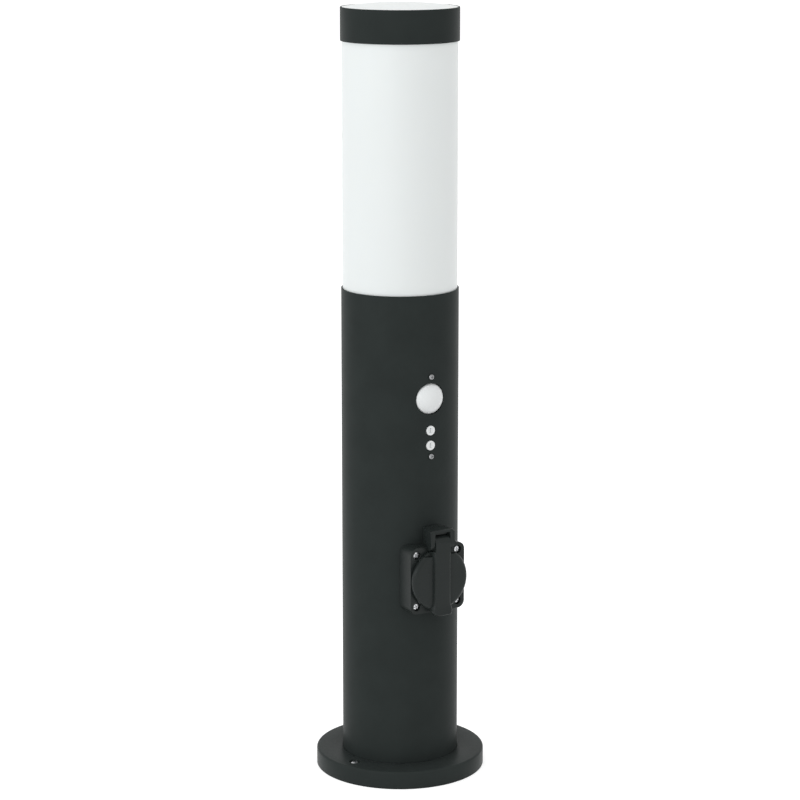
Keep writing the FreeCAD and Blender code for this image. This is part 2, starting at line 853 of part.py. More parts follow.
def socket_housing():
    """Moulded outlet housing: saddle plate, plug cup behind it and the hinge cheeks above it."""
    piece = Piece("socket_housing", up=s.socket_up, front=True)
    wide = plate_half
    tall = plate_half_tall
    low = post_r / 2
    piece.add("XY", low, plate_face, lambda o: o.round_box(-wide, wide, -tall, tall, s.plate_corner))
    piece.round(s.plate_round, lambda e: all(abs(v.Z - float(plate_face)) < 0.01 for v in e.Vertexes))

    # The cheeks and the lip over the knuckle, before the saddle is cut
    up = hinge_up
    out = hinge_out
    front = cheek_front
    bottom = up - s.cheek_round
    lip_under = up + s.bar_out + s.lip_gap
    top = lip_under + s.lip_wall
    piece.add(
        "YZ",
        -cheek_half,
        cheek_half,
        lambda o: o.path(
            (bottom, low),
            (top, low),
            (top, front - s.plate_round),
            (top - s.plate_round, front, s.plate_round),
            (up, front),
            (bottom, out, s.cheek_round),
        ),
    )

    def beside_cheeks(outline, back):
        for side in (-1.0, 1.0):
            outline.path(
                (side * cheek_side(back), back),
                (side * (cheek_half + PAST), back),
                (side * (cheek_half + PAST), front + PAST),
                (side * cheek_side(front + PAST), front + PAST),
            )

    piece.cut("XZ", tall, top + PAST, lambda o: beside_cheeks(o, post_inner_r))
    piece.cut("XZ", bottom - PAST, tall, lambda o: beside_cheeks(o, plate_face))
    piece.cut("XZ", -tall * 2, tall * 2, lambda o: o.circle(0.0, 0.0, saddle_r))

    # The cup that holds the plug, open at the front, with a back wall
    cup_end = strap_back - s.cup_back
    piece.add("XY", cup_end, plate_face, lambda o: o.circle(0.0, 0.0, socket_cup_r))
    piece.add("XY", plate_face - s.collar_tall, collar_out, lambda o: o.circle(0.0, 0.0, collar_r))
    piece.groove(
        (0.0, strap_back),
        (well_floor_r, strap_back),
        (well_floor_r, saddle_r),
        (well_r, collar_out - s.well_mouth_deep),
        (well_r, collar_out + PAST),
        (0.0, collar_out + PAST),
    )

    # The bay of the knuckle, and the pin's bore through both cheeks
    bay = s.bar_wide / 2 + s.slip_gap * 2
    piece.cut(
        "YZ",
        -bay,
        bay,
        lambda o: o.path(
            (bottom - PAST, lid_back),
            (up - s.knuckle_back - s.soft_gap, lid_back),
            (up - s.knuckle_back - s.soft_gap, out - s.bar_out - s.soft_gap),
            (lip_under, out - s.bar_out - s.soft_gap),
            (lip_under, front + PAST),
            (bottom - PAST, front + PAST),
        ),
    )
    piece.cut(
        "YZ", -cheek_half, cheek_half, lambda o: o.circle(up, out, s.hinge_pin_d / 2 + s.seat_gap)
    )

    def at_screws(outline, r):
        for side in (-1.0, 1.0):
            for rise in (-1.0, 1.0):
                outline.circle(side * screw_x, rise * screw_y, r)

    sink = plate_face - s.socket_sink
    piece.cut("XY", low, plate_face, lambda o: at_screws(o, s.socket_screw_d / 2 + s.slip_gap))
    piece.cut("XY", sink, plate_face, lambda o: at_screws(o, s.socket_head_d / 2 + s.slip_gap))
    inner = s.plug_pitch / 2 - s.window_wide / 2
    outer = inner + s.window_wide
    high = s.window_tall / 2
    corner = s.window_wide / 5

    def windows(outline):
        outline.round_box(inner, outer, -high, high, corner)
        outline.round_box(-outer, -inner, -high, high, corner)

    piece.cut("XY", cup_end, strap_back, windows)
    piece.cut("XY", cup_end, strap_back, lambda o: o.circle(0.0, 0.0, s.core_screw_d / 2 + s.seat_gap))


def socket_gasket():
    """Rubber sheet between the saddle and the tube."""
    piece = Piece("socket_gasket", up=s.socket_up, front=True)
    inset = s.gasket_thick / 2
    wide = plate_half - inset
    tall = plate_half_tall - inset
    low = post_r / 2
    piece.add("XY", low, plate_face, lambda o: o.round_box(-wide, wide, -tall, tall, s.plate_corner))
    outside = post_r + s.gasket_thick
    beyond = outside + plate_face
    piece.cut("XZ", -tall * 2, tall * 2, lambda o: o.circle(0.0, 0.0, post_r + s.seat_gap))
    piece.cut("XZ", -tall * 2, tall * 2, lambda o: o.circle(0.0, 0.0, outside).circle(0.0, 0.0, beyond))

    def holes(outline):
        outline.circle(0.0, 0.0, socket_cup_r + s.slip_gap)
        for side in (-1.0, 1.0):
            for rise in (-1.0, 1.0):
                outline.circle(side * screw_x, rise * screw_y, s.socket_screw_d / 2 + s.slip_gap)

    piece.cut("XY", low, plate_face, holes)


def socket_core():
    """Insert at the bottom of the plug well, which holds the contacts and the earth strap."""
    piece = Piece("socket_core", up=s.socket_up, front=True)
    r = well_floor_r - s.slip_gap
    half = s.plug_pitch / 2
    bevel = s.cup_wall
    piece.turn(
        (0.0, core_back), (r, core_back), (r, core_face - bevel), (r - bevel, core_face), (0.0, core_face)
    )
    strap_half = s.strap_wide / 2 + s.slip_gap * 2
    strap_in = strap_leg_r - s.strap_thick - s.slip_gap

    def channels(outline):
        outline.box(-strap_half, strap_half, strap_in, well_r)
        outline.box(-strap_half, strap_half, -well_r, -strap_in)

    piece.cut("XY", core_back, core_face, channels)
    sleeve_end = core_face - s.plug_face_thick
    sleeve_r = s.sleeve_d / 2 + s.slip_gap
    pin_r = s.plug_hole_d / 2

    def at_pins(outline, hole_r):
        outline.circle(half, 0.0, hole_r)
        outline.circle(-half, 0.0, hole_r)

    piece.cut("XY", core_back, sleeve_end, lambda o: at_pins(o, sleeve_r))
    piece.cut("XY", sleeve_end, core_face, lambda o: at_pins(o, pin_r))
    piece.cut("XY", core_back, core_face, lambda o: o.circle(0.0, 0.0, s.core_screw_d / 2 + s.slip_gap))
    head_r = s.core_head_d / 2 + s.slip_gap
    piece.cut("XY", core_head_seat, core_face, lambda o: o.circle(0.0, 0.0, head_r))


def socket_contacts():
    """Two brass sleeves with their wire clamps, and the sprung earth strap round the core."""
    half = s.plug_pitch / 2
    sleeve_high = core_face - s.plug_face_thick - s.slip_gap
    sleeve_low = core_back - s.soft_gap
    clamp_low = sleeve_low - s.clamp_long
    sleeve = Piece("contact", front=True, node=False)
    side = s.clamp_side / 2
    sleeve.add("XY", sleeve_low, sleeve_high, lambda o: o.circle(0.0, 0.0, s.sleeve_d / 2))
    sleeve.add("XY", clamp_low, sleeve_low, lambda o: o.round_box(-side, side, -side, side, side / 4))
    sleeve.cut("XY", clamp_low, sleeve_high, lambda o: o.circle(0.0, 0.0, s.sleeve_bore / 2))
    slot = s.strap_thick / 2
    sleeve.cut(
        "XY", sleeve_low + s.sleeve_slit_up, sleeve_high, lambda o: o.box(-side, side, -slot, slot)
    )
    sleeve.cut(
        "XZ", -side, 0.0, lambda o: o.circle(0.0, clamp_low + s.clamp_long / 2, s.sleeve_bore / 4)
    )
    spots("line_contacts", sleeve, [(half, 0.0, s.socket_up), (-half, 0.0, s.socket_up)], "front")

    strap = Piece("earth_strap", up=s.socket_up, front=True)
    wide = s.strap_wide / 2
    thick = s.strap_thick
    leg = strap_leg_r
    floor = core_back - s.seat_gap
    shoulder = core_face + s.strap_reach * 0.2
    bend = core_face + s.strap_reach * 0.65
    tip = core_face + s.strap_reach
    pinch = leg - s.strap_thick * 3
    flare = leg - s.strap_thick * 1.5

    strap.add(
        "YZ",
        -wide,
        wide,
        lambda o: o.path(
            (leg, floor - thick),
            (leg, shoulder),
            (pinch, bend),
            (flare, tip),
            (flare - thick, tip),
            (pinch - thick, bend),
            (leg - thick, shoulder),
            (leg - thick, floor),
            (thick - leg, floor),
            (thick - leg, shoulder),
            (thick - pinch, bend),
            (thick - flare, tip),
            (-flare, tip),
            (-pinch, bend),
            (-leg, shoulder),
            (-leg, floor - thick),
        ),
    )
    hole_r = s.core_screw_d / 2 + s.slip_gap
    strap.cut("XY", floor - thick, floor, lambda o: o.circle(0.0, 0.0, hole_r))

    length = core_head_seat - (strap_back - s.cup_back)
    one = screw("core_fixing", s.core_screw_d, length, s.core_head_d, s.core_head_tall)
    spots("core_screw", one, [(0.0, -core_head_seat, s.socket_up)], "front")


def socket_screws():
    """The four screws at the plate's corners, whose heads stand in their sinks."""
    head = (s.socket_head_d, s.socket_head_tall)
    one = screw("socket_screw", s.socket_screw_d, s.socket_screw_long, *head)
    seat = plate_face - s.socket_sink
    places = [
        (side * screw_x, -seat, s.socket_up + rise * screw_y)
        for side in (-1.0, 1.0)
        for rise in (-1.0, 1.0)
    ]
    spots("socket_screws", one, places, "front")


def hinge_pin():
    piece = Piece("hinge_pin", up=s.socket_up, front=True)
    pin_r = s.hinge_pin_d / 2
    half = cheek_side(hinge_out - pin_r) - s.slip_gap
    piece.add("YZ", -half, half, lambda o: o.circle(hinge_up, hinge_out, pin_r))


def socket_lid():
    """Lid of the outlet: disc with a rounded shoulder, bar down its middle, hinge knuckle and thumb tab."""
    piece = Piece("socket_lid", up=s.socket_up, front=True)
    half = s.bar_wide / 2
    back = lid_back + s.lid_flange_thick / 2
    trim = hinge_up - s.lid_trim

    # The thumb tab, cut from its outline: flared on top and hollowed below
    tab_half = half + s.tab_widen
    tab_start = s.tab_in - lid_r
    tab_end = -lid_r - s.tab_over
    tab_face = bar_face + s.tab_flare
    tab_under = tab_face - s.tab_thick
    under_start = tab_start - s.tab_thick / 2
    run = s.tab_in + s.tab_over
    flare_r = (run * run + s.tab_flare * s.tab_flare) / (s.tab_flare * 2)
    corner = s.tab_corner
    piece.add(
        "XY",
        back,
        tab_face,
        lambda o: o.path(
            (corner - tab_half, tab_end, corner),
            (tab_half - corner, tab_end),
            (tab_half, tab_end + corner, corner),
            (half, tab_start),
            (-half, tab_start),
            (-tab_half, tab_end + corner),
        ),
    )
    piece.cut(
        "YZ",
        -tab_half,
        tab_half,
        lambda o: o.path(
            (tab_start, bar_face, flare_r),
            (tab_start + PAST, bar_face),
            (tab_start + PAST, tab_face + PAST),
            (tab_end - PAST, tab_face + PAST),
            (tab_end - PAST, tab_face),
            (tab_end, tab_face),
        ),
    )
    piece.cut(
        "YZ",
        -tab_half,
        tab_half,
        lambda o: o.path(
            (under_start, back),
            (tab_end, tab_under),
            (tab_end - PAST, tab_under),
            (tab_end - PAST, back - PAST),
            (under_start, back - PAST),
        ),
    )

    # The disc, with the boss that enters the well and a thin flange next to the hinge
    boss_r = well_r - s.soft_gap - s.seal_thick - s.seat_gap
    shoulder_r = lid_r - s.lid_rim_lean
    shoulder_low = lid_back + s.lid_rim_tall
    fall = s.lid_thick - s.lid_rim_tall
    wide = s.lid_shoulder
    piece.turn(
        (0.0, lid_back - s.lid_boss_tall),
        (boss_r, lid_back - s.lid_boss_tall),
        (boss_r, lid_back),
        (lid_r, lid_back),
        (shoulder_r, shoulder_low),
        (shoulder_r - wide, lid_face, (wide * wide + fall * fall) / (fall * 2)),
        (0.0, lid_face),
    )
    flat = trim - s.lid_flange_wide
    piece.cut(
        "XY", lid_back + s.lid_flange_thick, lid_face, lambda o: o.box(-lid_r, lid_r, flat, lid_r + PAST)
    )
    piece.cut("XY", lid_back, lid_face, lambda o: o.box(-lid_r, lid_r, trim, lid_r + PAST))

    # The bar and the knuckle round the pin
    up = hinge_up
    out = hinge_out
    round_r = s.bar_out - s.bar_step
    knuckle = s.knuckle_back
    piece.add(
        "YZ",
        -half,
        half,
        lambda o: o.path(
            (tab_start, back),
            (up - knuckle, back),
            (up - knuckle, out),
            (up, out - knuckle, knuckle),
            (up + round_r, out),
            (up, out + round_r, round_r),
            (trim, out + round_r),
            (trim, bar_face),
            (tab_start, bar_face),
        ),
    )
    bay = s.spring_pitch * s.spring_turns / 2 + s.spring_wire / 2 + s.spring_side
    clear = spring_mean_r + s.spring_wire / 2 + s.spring_clear
    piece.cut(
        "YZ",
        -bay,
        bay,
        lambda o: o.path(
            (up - clear, out - knuckle - PAST),
            (up + round_r + PAST, out - knuckle - PAST),
            (up + round_r + PAST, out - knuckle / 2),
            (up + clear, out),
            (up, out + clear, clear),
            (up - clear, out, clear),
        ),
    )
    piece.cut("YZ", -half, half, lambda o: o.circle(up, out, s.hinge_pin_d / 2 + s.run_gap))


def lid_seal():
    """Rubber ring round the boss at the back of the lid."""
    piece = Piece("lid_seal", up=s.socket_up, front=True)
    outer = well_r - s.soft_gap
    inner = outer - s.seal_thick
    low = lid_back - s.seal_tall
    high = lid_back - s.seat_gap
    piece.turn((inner, low), (outer, low), (outer, high), (inner, high))


def lid_spring():
    """Torsion spring round the hinge pin, one unbroken wire: a leg, the coil and a second leg."""
    wire_r = float(s.spring_wire) / 2
    mean_r = float(spring_mean_r)
    pitch = float(s.spring_pitch)
    turns = float(s.spring_turns)
    half = pitch * turns / 2

    def on_coil(turn):
        angle = 2 * math.pi * turn
        return FreeCAD.Vector(pitch * turn - half, mean_r * math.cos(angle), mean_r * math.sin(angle))

    def along(turn):
        angle = 2 * math.pi * turn
        step = pitch / (2 * math.pi)
        return FreeCAD.Vector(step, -mean_r * math.sin(angle), mean_r * math.cos(angle)).normalize()

    def two_arcs(p, q, t, u):
        """Two arcs that leave p along t, meet smoothly and reach q along u."""
        v = q - p
        w = t + u
        spread = 4 - w.dot(w)
        reach = (math.sqrt(v.dot(w) ** 2 + v.dot(v) * spread) - v.dot(w)) / spread
        meet = (p + q + (t - u) * reach) * 0.5
        return [arc_from(p, meet, t), arc_from(meet, q, (meet - (p + t * reach)).normalize())]

    def arc_from(p, q, t):
        chord = q - p
        side = (chord - t * chord.dot(t)).normalize()
        r = chord.dot(chord) / (2 * chord.dot(side))
        centre = p + side * r
        mid = ((p + q) * 0.5 - centre).normalize() * r + centre
        return Part.Arc(p, mid, q).toShape()

    leg = mean_r * 0.75
    start = on_coil(0.0)
    finish = on_coil(turns)
    edges = [Part.makeLine(start - along(0.0) * leg, start)]
    quarters = round(turns * 4)
    for k in range(quarters):
        a = turns * k / quarters
        b = turns * (k + 1) / quarters
        edges += two_arcs(on_coil(a), on_coil(b), along(a), along(b))
    edges.append(Part.makeLine(finish, finish + along(turns) * leg))
    path = Part.Wire(edges)
    section = Part.Wire([Part.Circle(edges[0].Vertexes[0].Point, along(0.0), wire_r).toShape()])
    solid = path.makePipeShell([section], True, False)
    expected = math.pi * wire_r**2 * path.Length

    # The least gap of the wire to itself, measured between points more than half a turn apart
    count = 600
    points = path.discretize(Number=count)
    apart = math.ceil(math.pi * mean_r / (path.Length / (count - 1)))
    least = min(
        points[k].distanceToPoint(other) for k in range(count) for other in points[k + apart:]
    )
    print(f"lid_spring: wire {path.Length:.1f} mm, volume {solid.Volume:.2f} of {expected:.2f} mm3")
    print(f"lid_spring: least gap to itself {least - 2 * wire_r:.2f} mm")
    part = doc.addObject("Part::Feature", "lid_spring")
    part.Label = "lid_spring"
    part.Shape = solid
    place = FreeCAD.Vector(0, -float(hinge_out), float(s.socket_up + hinge_up))
    part.Placement = FreeCAD.Placement(place, FreeCAD.Rotation(FreeCAD.Vector(1, 0, 0), 90))
    NODES.append(part)


def sensor_case():
    """Moulded case of the sensor, curved to the inside of the tube, with its back cover and gasket."""
    half = s.case_wide / 2
    case = Piece("sensor_case", front=True)

    def outside(outline):
        outline.round_box(-half, half, case_low, case_high, s.case_corner)

    case.add("XY", case_back_out, post_r, outside)
    keep = case_high * 2
    case.cut(
        "XZ", -keep, keep, lambda o: o.circle(0.0, 0.0, case_r).circle(0.0, 0.0, post_r * 2)
    )
    wall = s.case_wall
    inner_corner = s.case_corner - wall / 2
    case.cut(
        "XY",
        case_back_out,
        case_inner_out,
        lambda o: o.round_box(wall - half, half - wall, case_low + wall, case_high - wall, inner_corner),
    )
    screw_ups = (case_screw_low, case_screw_high)

    def bosses(outline):
        for up in screw_ups:
            outline.circle(0.0, up, s.boss_d / 2)

    def front_holes(outline):
        outline.circle(0.0, lens_up, lens_r + s.slip_gap)
        outline.circle(0.0, time_up, knob_hole_r)
        outline.circle(0.0, lux_up, knob_hole_r)

    def screw_holes(outline):
        for up in screw_ups:
            outline.circle(0.0, up, s.sensor_screw_d / 2 + s.seat_gap)

    case.add("XY", board_face + s.seat_gap, case_inner_out + s.case_wall / 2, bosses)
    case.cut("XY", case_inner_out, post_r, front_holes)
    case.cut("XY", board_face, post_r, screw_holes)

    cover = Piece("sensor_cover", front=True)
    cover_back = case_back_out - s.case_wall - s.seat_gap
    cover_front = case_back_out - s.seat_gap
    cover.add("XY", cover_back, cover_front, outside)
    cover.add("XY", cover_front - s.case_wall / 2, board_out - s.seat_gap, bosses)

    gasket = Piece("sensor_gasket", front=True)
    wide = half - s.case_gasket
    low = case_low + s.case_gasket
    high = case_high - s.case_gasket
    gasket.add("XY", board_out, post_r, lambda o: o.round_box(-wide, wide, low, high, s.case_corner))
    inner_r = case_r + s.seat_gap / 2
    outer_r = post_inner_r - s.seat_gap / 2
    gasket.cut("XZ", -keep, keep, lambda o: o.circle(0.0, 0.0, inner_r))
    gasket.cut("XZ", -keep, keep, lambda o: o.circle(0.0, 0.0, outer_r).circle(0.0, 0.0, post_r * 2))

    def gasket_holes(outline):
        outline.circle(0.0, lens_up, lens_r + s.lens_gap)
        outline.circle(0.0, time_up, knob_hole_r + s.slip_gap)
        outline.circle(0.0, lux_up, knob_hole_r + s.slip_gap)
        for up in screw_ups:
            outline.circle(0.0, up, s.sensor_screw_d / 2 + s.slip_gap)

    gasket.cut("XY", board_out, post_r, gasket_holes)


def sensor_board():
    """Circuit board between the case's bosses and the cover's, with what is soldered to it."""
    half = s.case_wide / 2 - s.case_wall - s.board_gap
    low = case_low + s.case_wall + s.board_gap
    high = case_high - s.case_wall - s.board_gap
    board = Piece("sensor_board", front=True)
    corner = s.case_corner / 2
    board.add("XY", board_out, board_face, lambda o: o.round_box(-half, half, low, high, corner))

    element = Piece("pir_element", up=lens_up, front=True)
    r = s.pir_d / 2
    rim = s.pir_rim_d / 2
    top = board_face + s.pir_tall
    rim_top = board_face + s.pir_rim_tall
    element.turn((0.0, board_face), (rim, board_face), (rim, rim_top), (r, rim_top), (r, top), (0.0, top))
    wide = r * 0.55
    tall = wide * 0.8
    element.cut("XY", top - s.pir_window_deep, top, lambda o: o.box(-wide, wide, -tall, tall))

    pot = Piece("trim_pot", front=True, node=False)
    side = s.pot_side / 2
    pot_top = board_face + s.pot_tall
    stem_hole = s.knob_stem_d / 2 + s.slip_gap
    pot.add("XY", board_face, pot_top, lambda o: o.round_box(-side, side, -side, side, side / 5))
    pot.cut("XY", pot_top - s.pot_tall / 5, pot_top, lambda o: o.circle(0.0, 0.0, stem_hole))
    spots("trim_pots", pot, [(0.0, 0.0, time_up), (0.0, 0.0, lux_up)], "front")

    relay = Piece("sensor_relay", up=lens_up - s.relay_drop, front=True)
    wide = s.relay_wide / 2
    tall = s.relay_tall / 2
    corner = s.case_wall / 2
    relay_back = case_back_out + s.relay_gap
    relay.add("XY", relay_back, board_out, lambda o: o.round_box(-wide, wide, -tall, tall, corner))


def sensor_lens():
    """White domed lens, held by its flange behind the case's front wall."""
    piece = Piece("sensor_lens", up=lens_up, front=True)
    seat = case_inner_out - s.seat_gap
    back = seat - s.lens_flange_thick
    rim = post_r - s.lens_rim_in
    apex = post_r + s.lens_rise
    rise = apex - rim
    dome = (lens_r * lens_r + rise * rise) / (rise * 2)
    inner = lens_r - s.lens_wall
    inner_rise = rise - s.lens_wall / 2
    inner_dome = (inner * inner + inner_rise * inner_rise) / (inner_rise * 2)
    piece.turn(
        (inner, back),
        (lens_flange_r, back),
        (lens_flange_r, seat),
        (lens_r, seat),
        (lens_r, rim),
        (0.0, apex, dome),
        (0.0, apex - s.lens_wall),
        (inner, rim - s.lens_wall / 2, -inner_dome),
    )


def trim_knob(label, up):
    """White trim knob with a screwdriver slot, held by a collar behind the case's front wall."""
    piece = Piece(label, up=up, front=True)
    r = s.knob_d / 2
    collar = knob_collar_r
    top = post_r + s.knob_proud
    stem = s.knob_stem_d / 2
    collar_high = case_inner_out - s.slip_gap
    collar_low = collar_high - s.knob_collar_thick
    stem_low = board_face + s.pot_tall + s.slip_gap
    bevel = s.knob_dimple_deep / 2
    piece.turn(
        (0.0, stem_low),
        (stem, stem_low),
        (stem, collar_low),
        (collar, collar_low),
        (collar, collar_high),
        (r, collar_high),
        (r, top - bevel),
        (r - bevel, top),
        (0.0, top),
    )
    floor = top - s.knob_dimple_deep
    piece.cut("XY", floor, top, lambda o: o.circle(0.0, 0.0, s.knob_dimple_d / 2))
    slot = s.knob_slot / 2
    reach = s.knob_dimple_d / 2 - s.slip_gap
    piece.cut("XY", floor - s.knob_slot, floor, lambda o: o.box(-slot, slot, -reach, reach))


def sensor_screws():
    """The two screws that hold the sensor's case against the tube."""
    head = (s.sensor_head_d, s.sensor_head_tall)
    one = screw("sensor_screw", s.sensor_screw_d, s.sensor_screw_long, *head)
    seat = -post_r - s.seat_gap
    places = [(0.0, seat, case_screw_low), (0.0, seat, case_screw_high)]
    spots("sensor_screws", one, places, "front")


def lamp_carrier():
    """Dish inside the top of the tube: it carries the lampholder, and its collar centres the opal cup."""
    lug_angles = [30.0 + 120.0 * k for k in range(3)]
    lug = Piece("carrier_lug", node=False)
    wide = s.lug_wide / 2
    outer = post_inner_r - s.seat_gap
    lug_in = lug_screw_at - s.lug_screw_edge
    lug_low = carrier_up - s.lug_sheet
    lug.add(
        "XZ",
        -wide,
        wide,
        lambda o: o.path(
            (lug_in, lug_low),
            (outer - s.lug_sheet, lug_low),
            (outer - s.lug_sheet, lug_low - s.lug_leg),
            (outer, lug_low - s.lug_leg),
            (outer, carrier_up - s.seat_gap),
            (lug_in, carrier_up - s.seat_gap),
        ),
    )
    ring_out = outer + s.lug_wide
    lug.cut(
        "XY",
        lug_low - s.lug_leg - PAST,
        carrier_up,
        lambda o: o.circle(0.0, 0.0, outer).circle(0.0, 0.0, ring_out),
    )
    tapped = s.small_screw_d / 2 + s.seat_gap
    lug.cut("XY", lug_low, carrier_up, lambda o: o.circle(lug_screw_at, 0.0, tapped))
    links = []
    for angle in lug_angles:
        link = doc.addObject("App::Link", "carrier_lug_one")
        link.LinkedObject = lug.body
        link.Placement = FreeCAD.Placement(
            FreeCAD.Vector(0, 0, 0), FreeCAD.Rotation(FreeCAD.Vector(0, 0, 1), angle)
        )
        links.append(link)
    group = doc.addObject("Part::Compound", "carrier_lugs")
    group.Label = "carrier_lugs"
    group.Links = links
    NODES.append(group)

    carrier = Piece("lamp_carrier")
    edge = post_inner_r - s.slip_gap
    collar = carrier_collar_r
    inner = carrier_collar_in
    top = carrier_top + s.carrier_collar_tall
    bevel = s.carrier_collar_bevel
    groove_mid = carrier_top + s.ring_up
    groove_half = s.ring_wire / 2 + s.slip_gap
    groove_floor = cup_inner_r - s.soft_gap - s.ring_wire - s.seat_gap
    carrier.turn(
        (0.0, carrier_up),
        (edge, carrier_up),
        (edge, carrier_top),
        (collar, carrier_top),
        (collar, groove_mid - groove_half),
        (groove_floor, groove_mid - groove_half),
        (groove_floor, groove_mid + groove_half),
        (collar, groove_mid + groove_half),
        (collar, top - bevel),
        (collar - bevel, top),
        (inner, top),
        (inner, carrier_top),
        (0.0, carrier_top),
    )
    screw_r = s.small_screw_d / 2 + s.slip_gap
    pitch = s.holder_screw_pitch / 2

    def holes(outline):
        for x, y, z in on_circle(lug_screw_at, lug_angles, carrier_top):
            outline.circle(x, y, screw_r)
        outline.circle(pitch, 0.0, screw_r)
        outline.circle(-pitch, 0.0, screw_r)
        outline.circle(0.0, inner - s.cable_hole_inset, s.cable_hole_d / 2)

    carrier.cut("XY", carrier_up, carrier_top, holes)

    seal = doc.addObject("Part::Torus", "cup_seal_ring")
    seal.Label = "cup_seal_ring"
    bind(seal, "Radius2", s.ring_wire / 2)
    bind(seal, "Radius1", cup_inner_r - s.soft_gap - s.ring_wire / 2)
    bind(seal, "Placement.Base.z", groove_mid)
    NODES.append(seal)

    head = (s.small_head_d, s.small_head_tall)
    through = s.lug_sheet + s.carrier_sheet + s.screw_past
    one = screw("carrier_screw", s.small_screw_d, through, *head)
    spots("carrier_screws", one, on_circle(lug_screw_at, lug_angles, carrier_top), "up")
    into = s.carrier_sheet + s.holder_floor - s.thread_short
    under = screw("holder_screw", s.small_screw_d, into, *head)
    spots("holder_screws", under, [(pitch, 0.0, carrier_up), (-pitch, 0.0, carrier_up)], "down")


def lampholder():
    """E27 lampholder: porcelain body, metal shell and sprung centre contact."""
    low = carrier_top
    floor = holder_floor_up
    high = holder_high
    rim_low = high - s.holder_rim_tall
    outer = s.holder_d / 2
    rim = s.holder_rim_d / 2
    bore = s.holder_bore / 2
    step = rim - outer
    bevel = s.holder_rim_bevel
    body = Piece("lampholder_body")
    body.turn(
        (0.0, low),
        (outer, low),
        (outer, rim_low),
        (rim, rim_low + step),
        (rim, high - bevel),
        (rim - bevel, high),
        (bore, high),
        (bore, floor),
        (0.0, floor),
    )
    tapped = s.small_screw_d / 2 + s.seat_gap
    pitch = s.holder_screw_pitch / 2
    body.cut("XY", low, floor, lambda o: o.circle(pitch, 0.0, tapped).circle(-pitch, 0.0, tapped))

    shell = Piece("lampholder_shell")
    wall = s.shell_wall
    shell_low = floor + s.seat_gap
    shell_high = shell_low + s.shell_tall
    inner = shell_r - wall
    shell.turn(
        (inner - s.shell_lip, shell_low),
        (shell_r, shell_low),
        (shell_r, shell_high),
        (inner, shell_high),
        (inner, shell_low + wall),
        (inner - s.shell_lip, shell_low + wall),
    )

    contact = Piece("lampholder_contact")
    half = s.contact_wide / 2
    reach = s.contact_long / 2
    tip = s.contact_tip
    under_lamp = lamp_low - s.seat_gap
    contact.add(
        "YZ",
        -half,
        half,
        lambda o: o.path(
            (-reach, shell_low),
            (reach, shell_low),
            (reach, shell_low + wall),
            (wall * 2 - reach, shell_low + wall),
            (tip, under_lamp - wall),
            (tip, under_lamp),
            (-tip, under_lamp),
        ),
    )


def lamp():
    """LED lamp: ribbed E27 cap, white body and opal globe."""
    cap_high = lamp_low + s.lamp_cap_tall
    r = lamp_cap_r
    tip = r / 3
    cone = s.thread_pitch
    cap = Piece("lamp_cap")
    ribs = []
    count = int((s.lamp_cap_tall - cone * 1.5) / s.thread_pitch)
    for k in range(count):
        low = lamp_low + cone + s.thread_pitch * k
        ribs.append((r - s.thread_deep, low))
        ribs.append((r, low + s.thread_pitch / 2))
    cap.turn(
        (0.0, lamp_low),
        (tip, lamp_low),
        (tip * 1.6, lamp_low + cone / 2),
        *ribs,
        (r - s.thread_deep, cap_high),
        (0.0, cap_high),
    )
    body = Piece("lamp_body")
    body_high = cap_high + s.lamp_body_tall
    neck = r + s.lamp_neck_step
    neck_high = holder_high + s.slip_gap
    globe = s.globe_d / 2
    drop = globe / 2
    shoulder = drop * math.sqrt(3) - s.slip_gap
    body.turn(
        (0.0, cap_high),
        (neck, cap_high),
        (neck, neck_high),
        (shoulder, body_high - s.lamp_shoulder_tall),
        (shoulder, body_high),
        (0.0, body_high),
    )
    ball = doc.addObject("Part::Sphere", "lamp_globe")
    ball.Label = "lamp_globe"
    bind(ball, "Radius", globe)
    ball.setExpression("Angle1", f"-asin({text_of(drop / globe)})")
    bind(ball, "Placement.Base.z", body_high + drop)
    NODES.append(ball)


def opal_cup():
    """Opal cup: a tube closed by a slightly domed top, with a shoulder for the band's lip."""
    piece = Piece("opal_cup")
    outer = cup_r
    inner = cup_inner_r
    edge = band_r - s.band_lip_wide - s.slip_gap
    dome = (edge * edge + s.crown * s.crown) / (s.crown * 2)
    ceiling_edge = cup_high - s.cup_top
    rise = s.crown
    inner_dome = (inner * inner + rise * rise) / (rise * 2)
    piece.turn(
        (inner, cup_low),
        (outer, cup_low),
        (outer, cup_high),
        (edge, cup_high),
        (0.0, cup_high + s.crown, dome),
        (0.0, ceiling_edge + rise),
        (inner, ceiling_edge, -inner_dome),
    )


def cap_band():
    """Metal band round the top of the cup, hung on it by a narrow lip."""
    piece = Piece("cap_band")
    outer = band_r
    inner = cup_r + s.slip_gap
    lip = outer - s.band_lip_wide
    low = head_top - s.band_tall
    under = cup_high + s.seat_gap
    edge = s.band_edge
    piece.turn(
        (inner, low),
        (outer, low),
        (outer, head_top - edge),
        (outer - edge, head_top, edge),
        (lip, head_top),
        (lip, under),
        (inner, under),
    )


base_flange()
foot_ring()
foot_screws()
cable_gland()
post_tube()
supply_terminals()
socket_gasket()
socket_housing()
socket_core()
socket_contacts()
socket_screws()
hinge_pin()
socket_lid()
lid_seal()
lid_spring()
sensor_case()
sensor_board()
sensor_lens()
trim_knob("time_knob", time_up)
trim_knob("lux_knob", lux_up)
sensor_screws()
lamp_carrier()
lampholder()
lamp()
opal_cup()
cap_band()
doc.recompute()

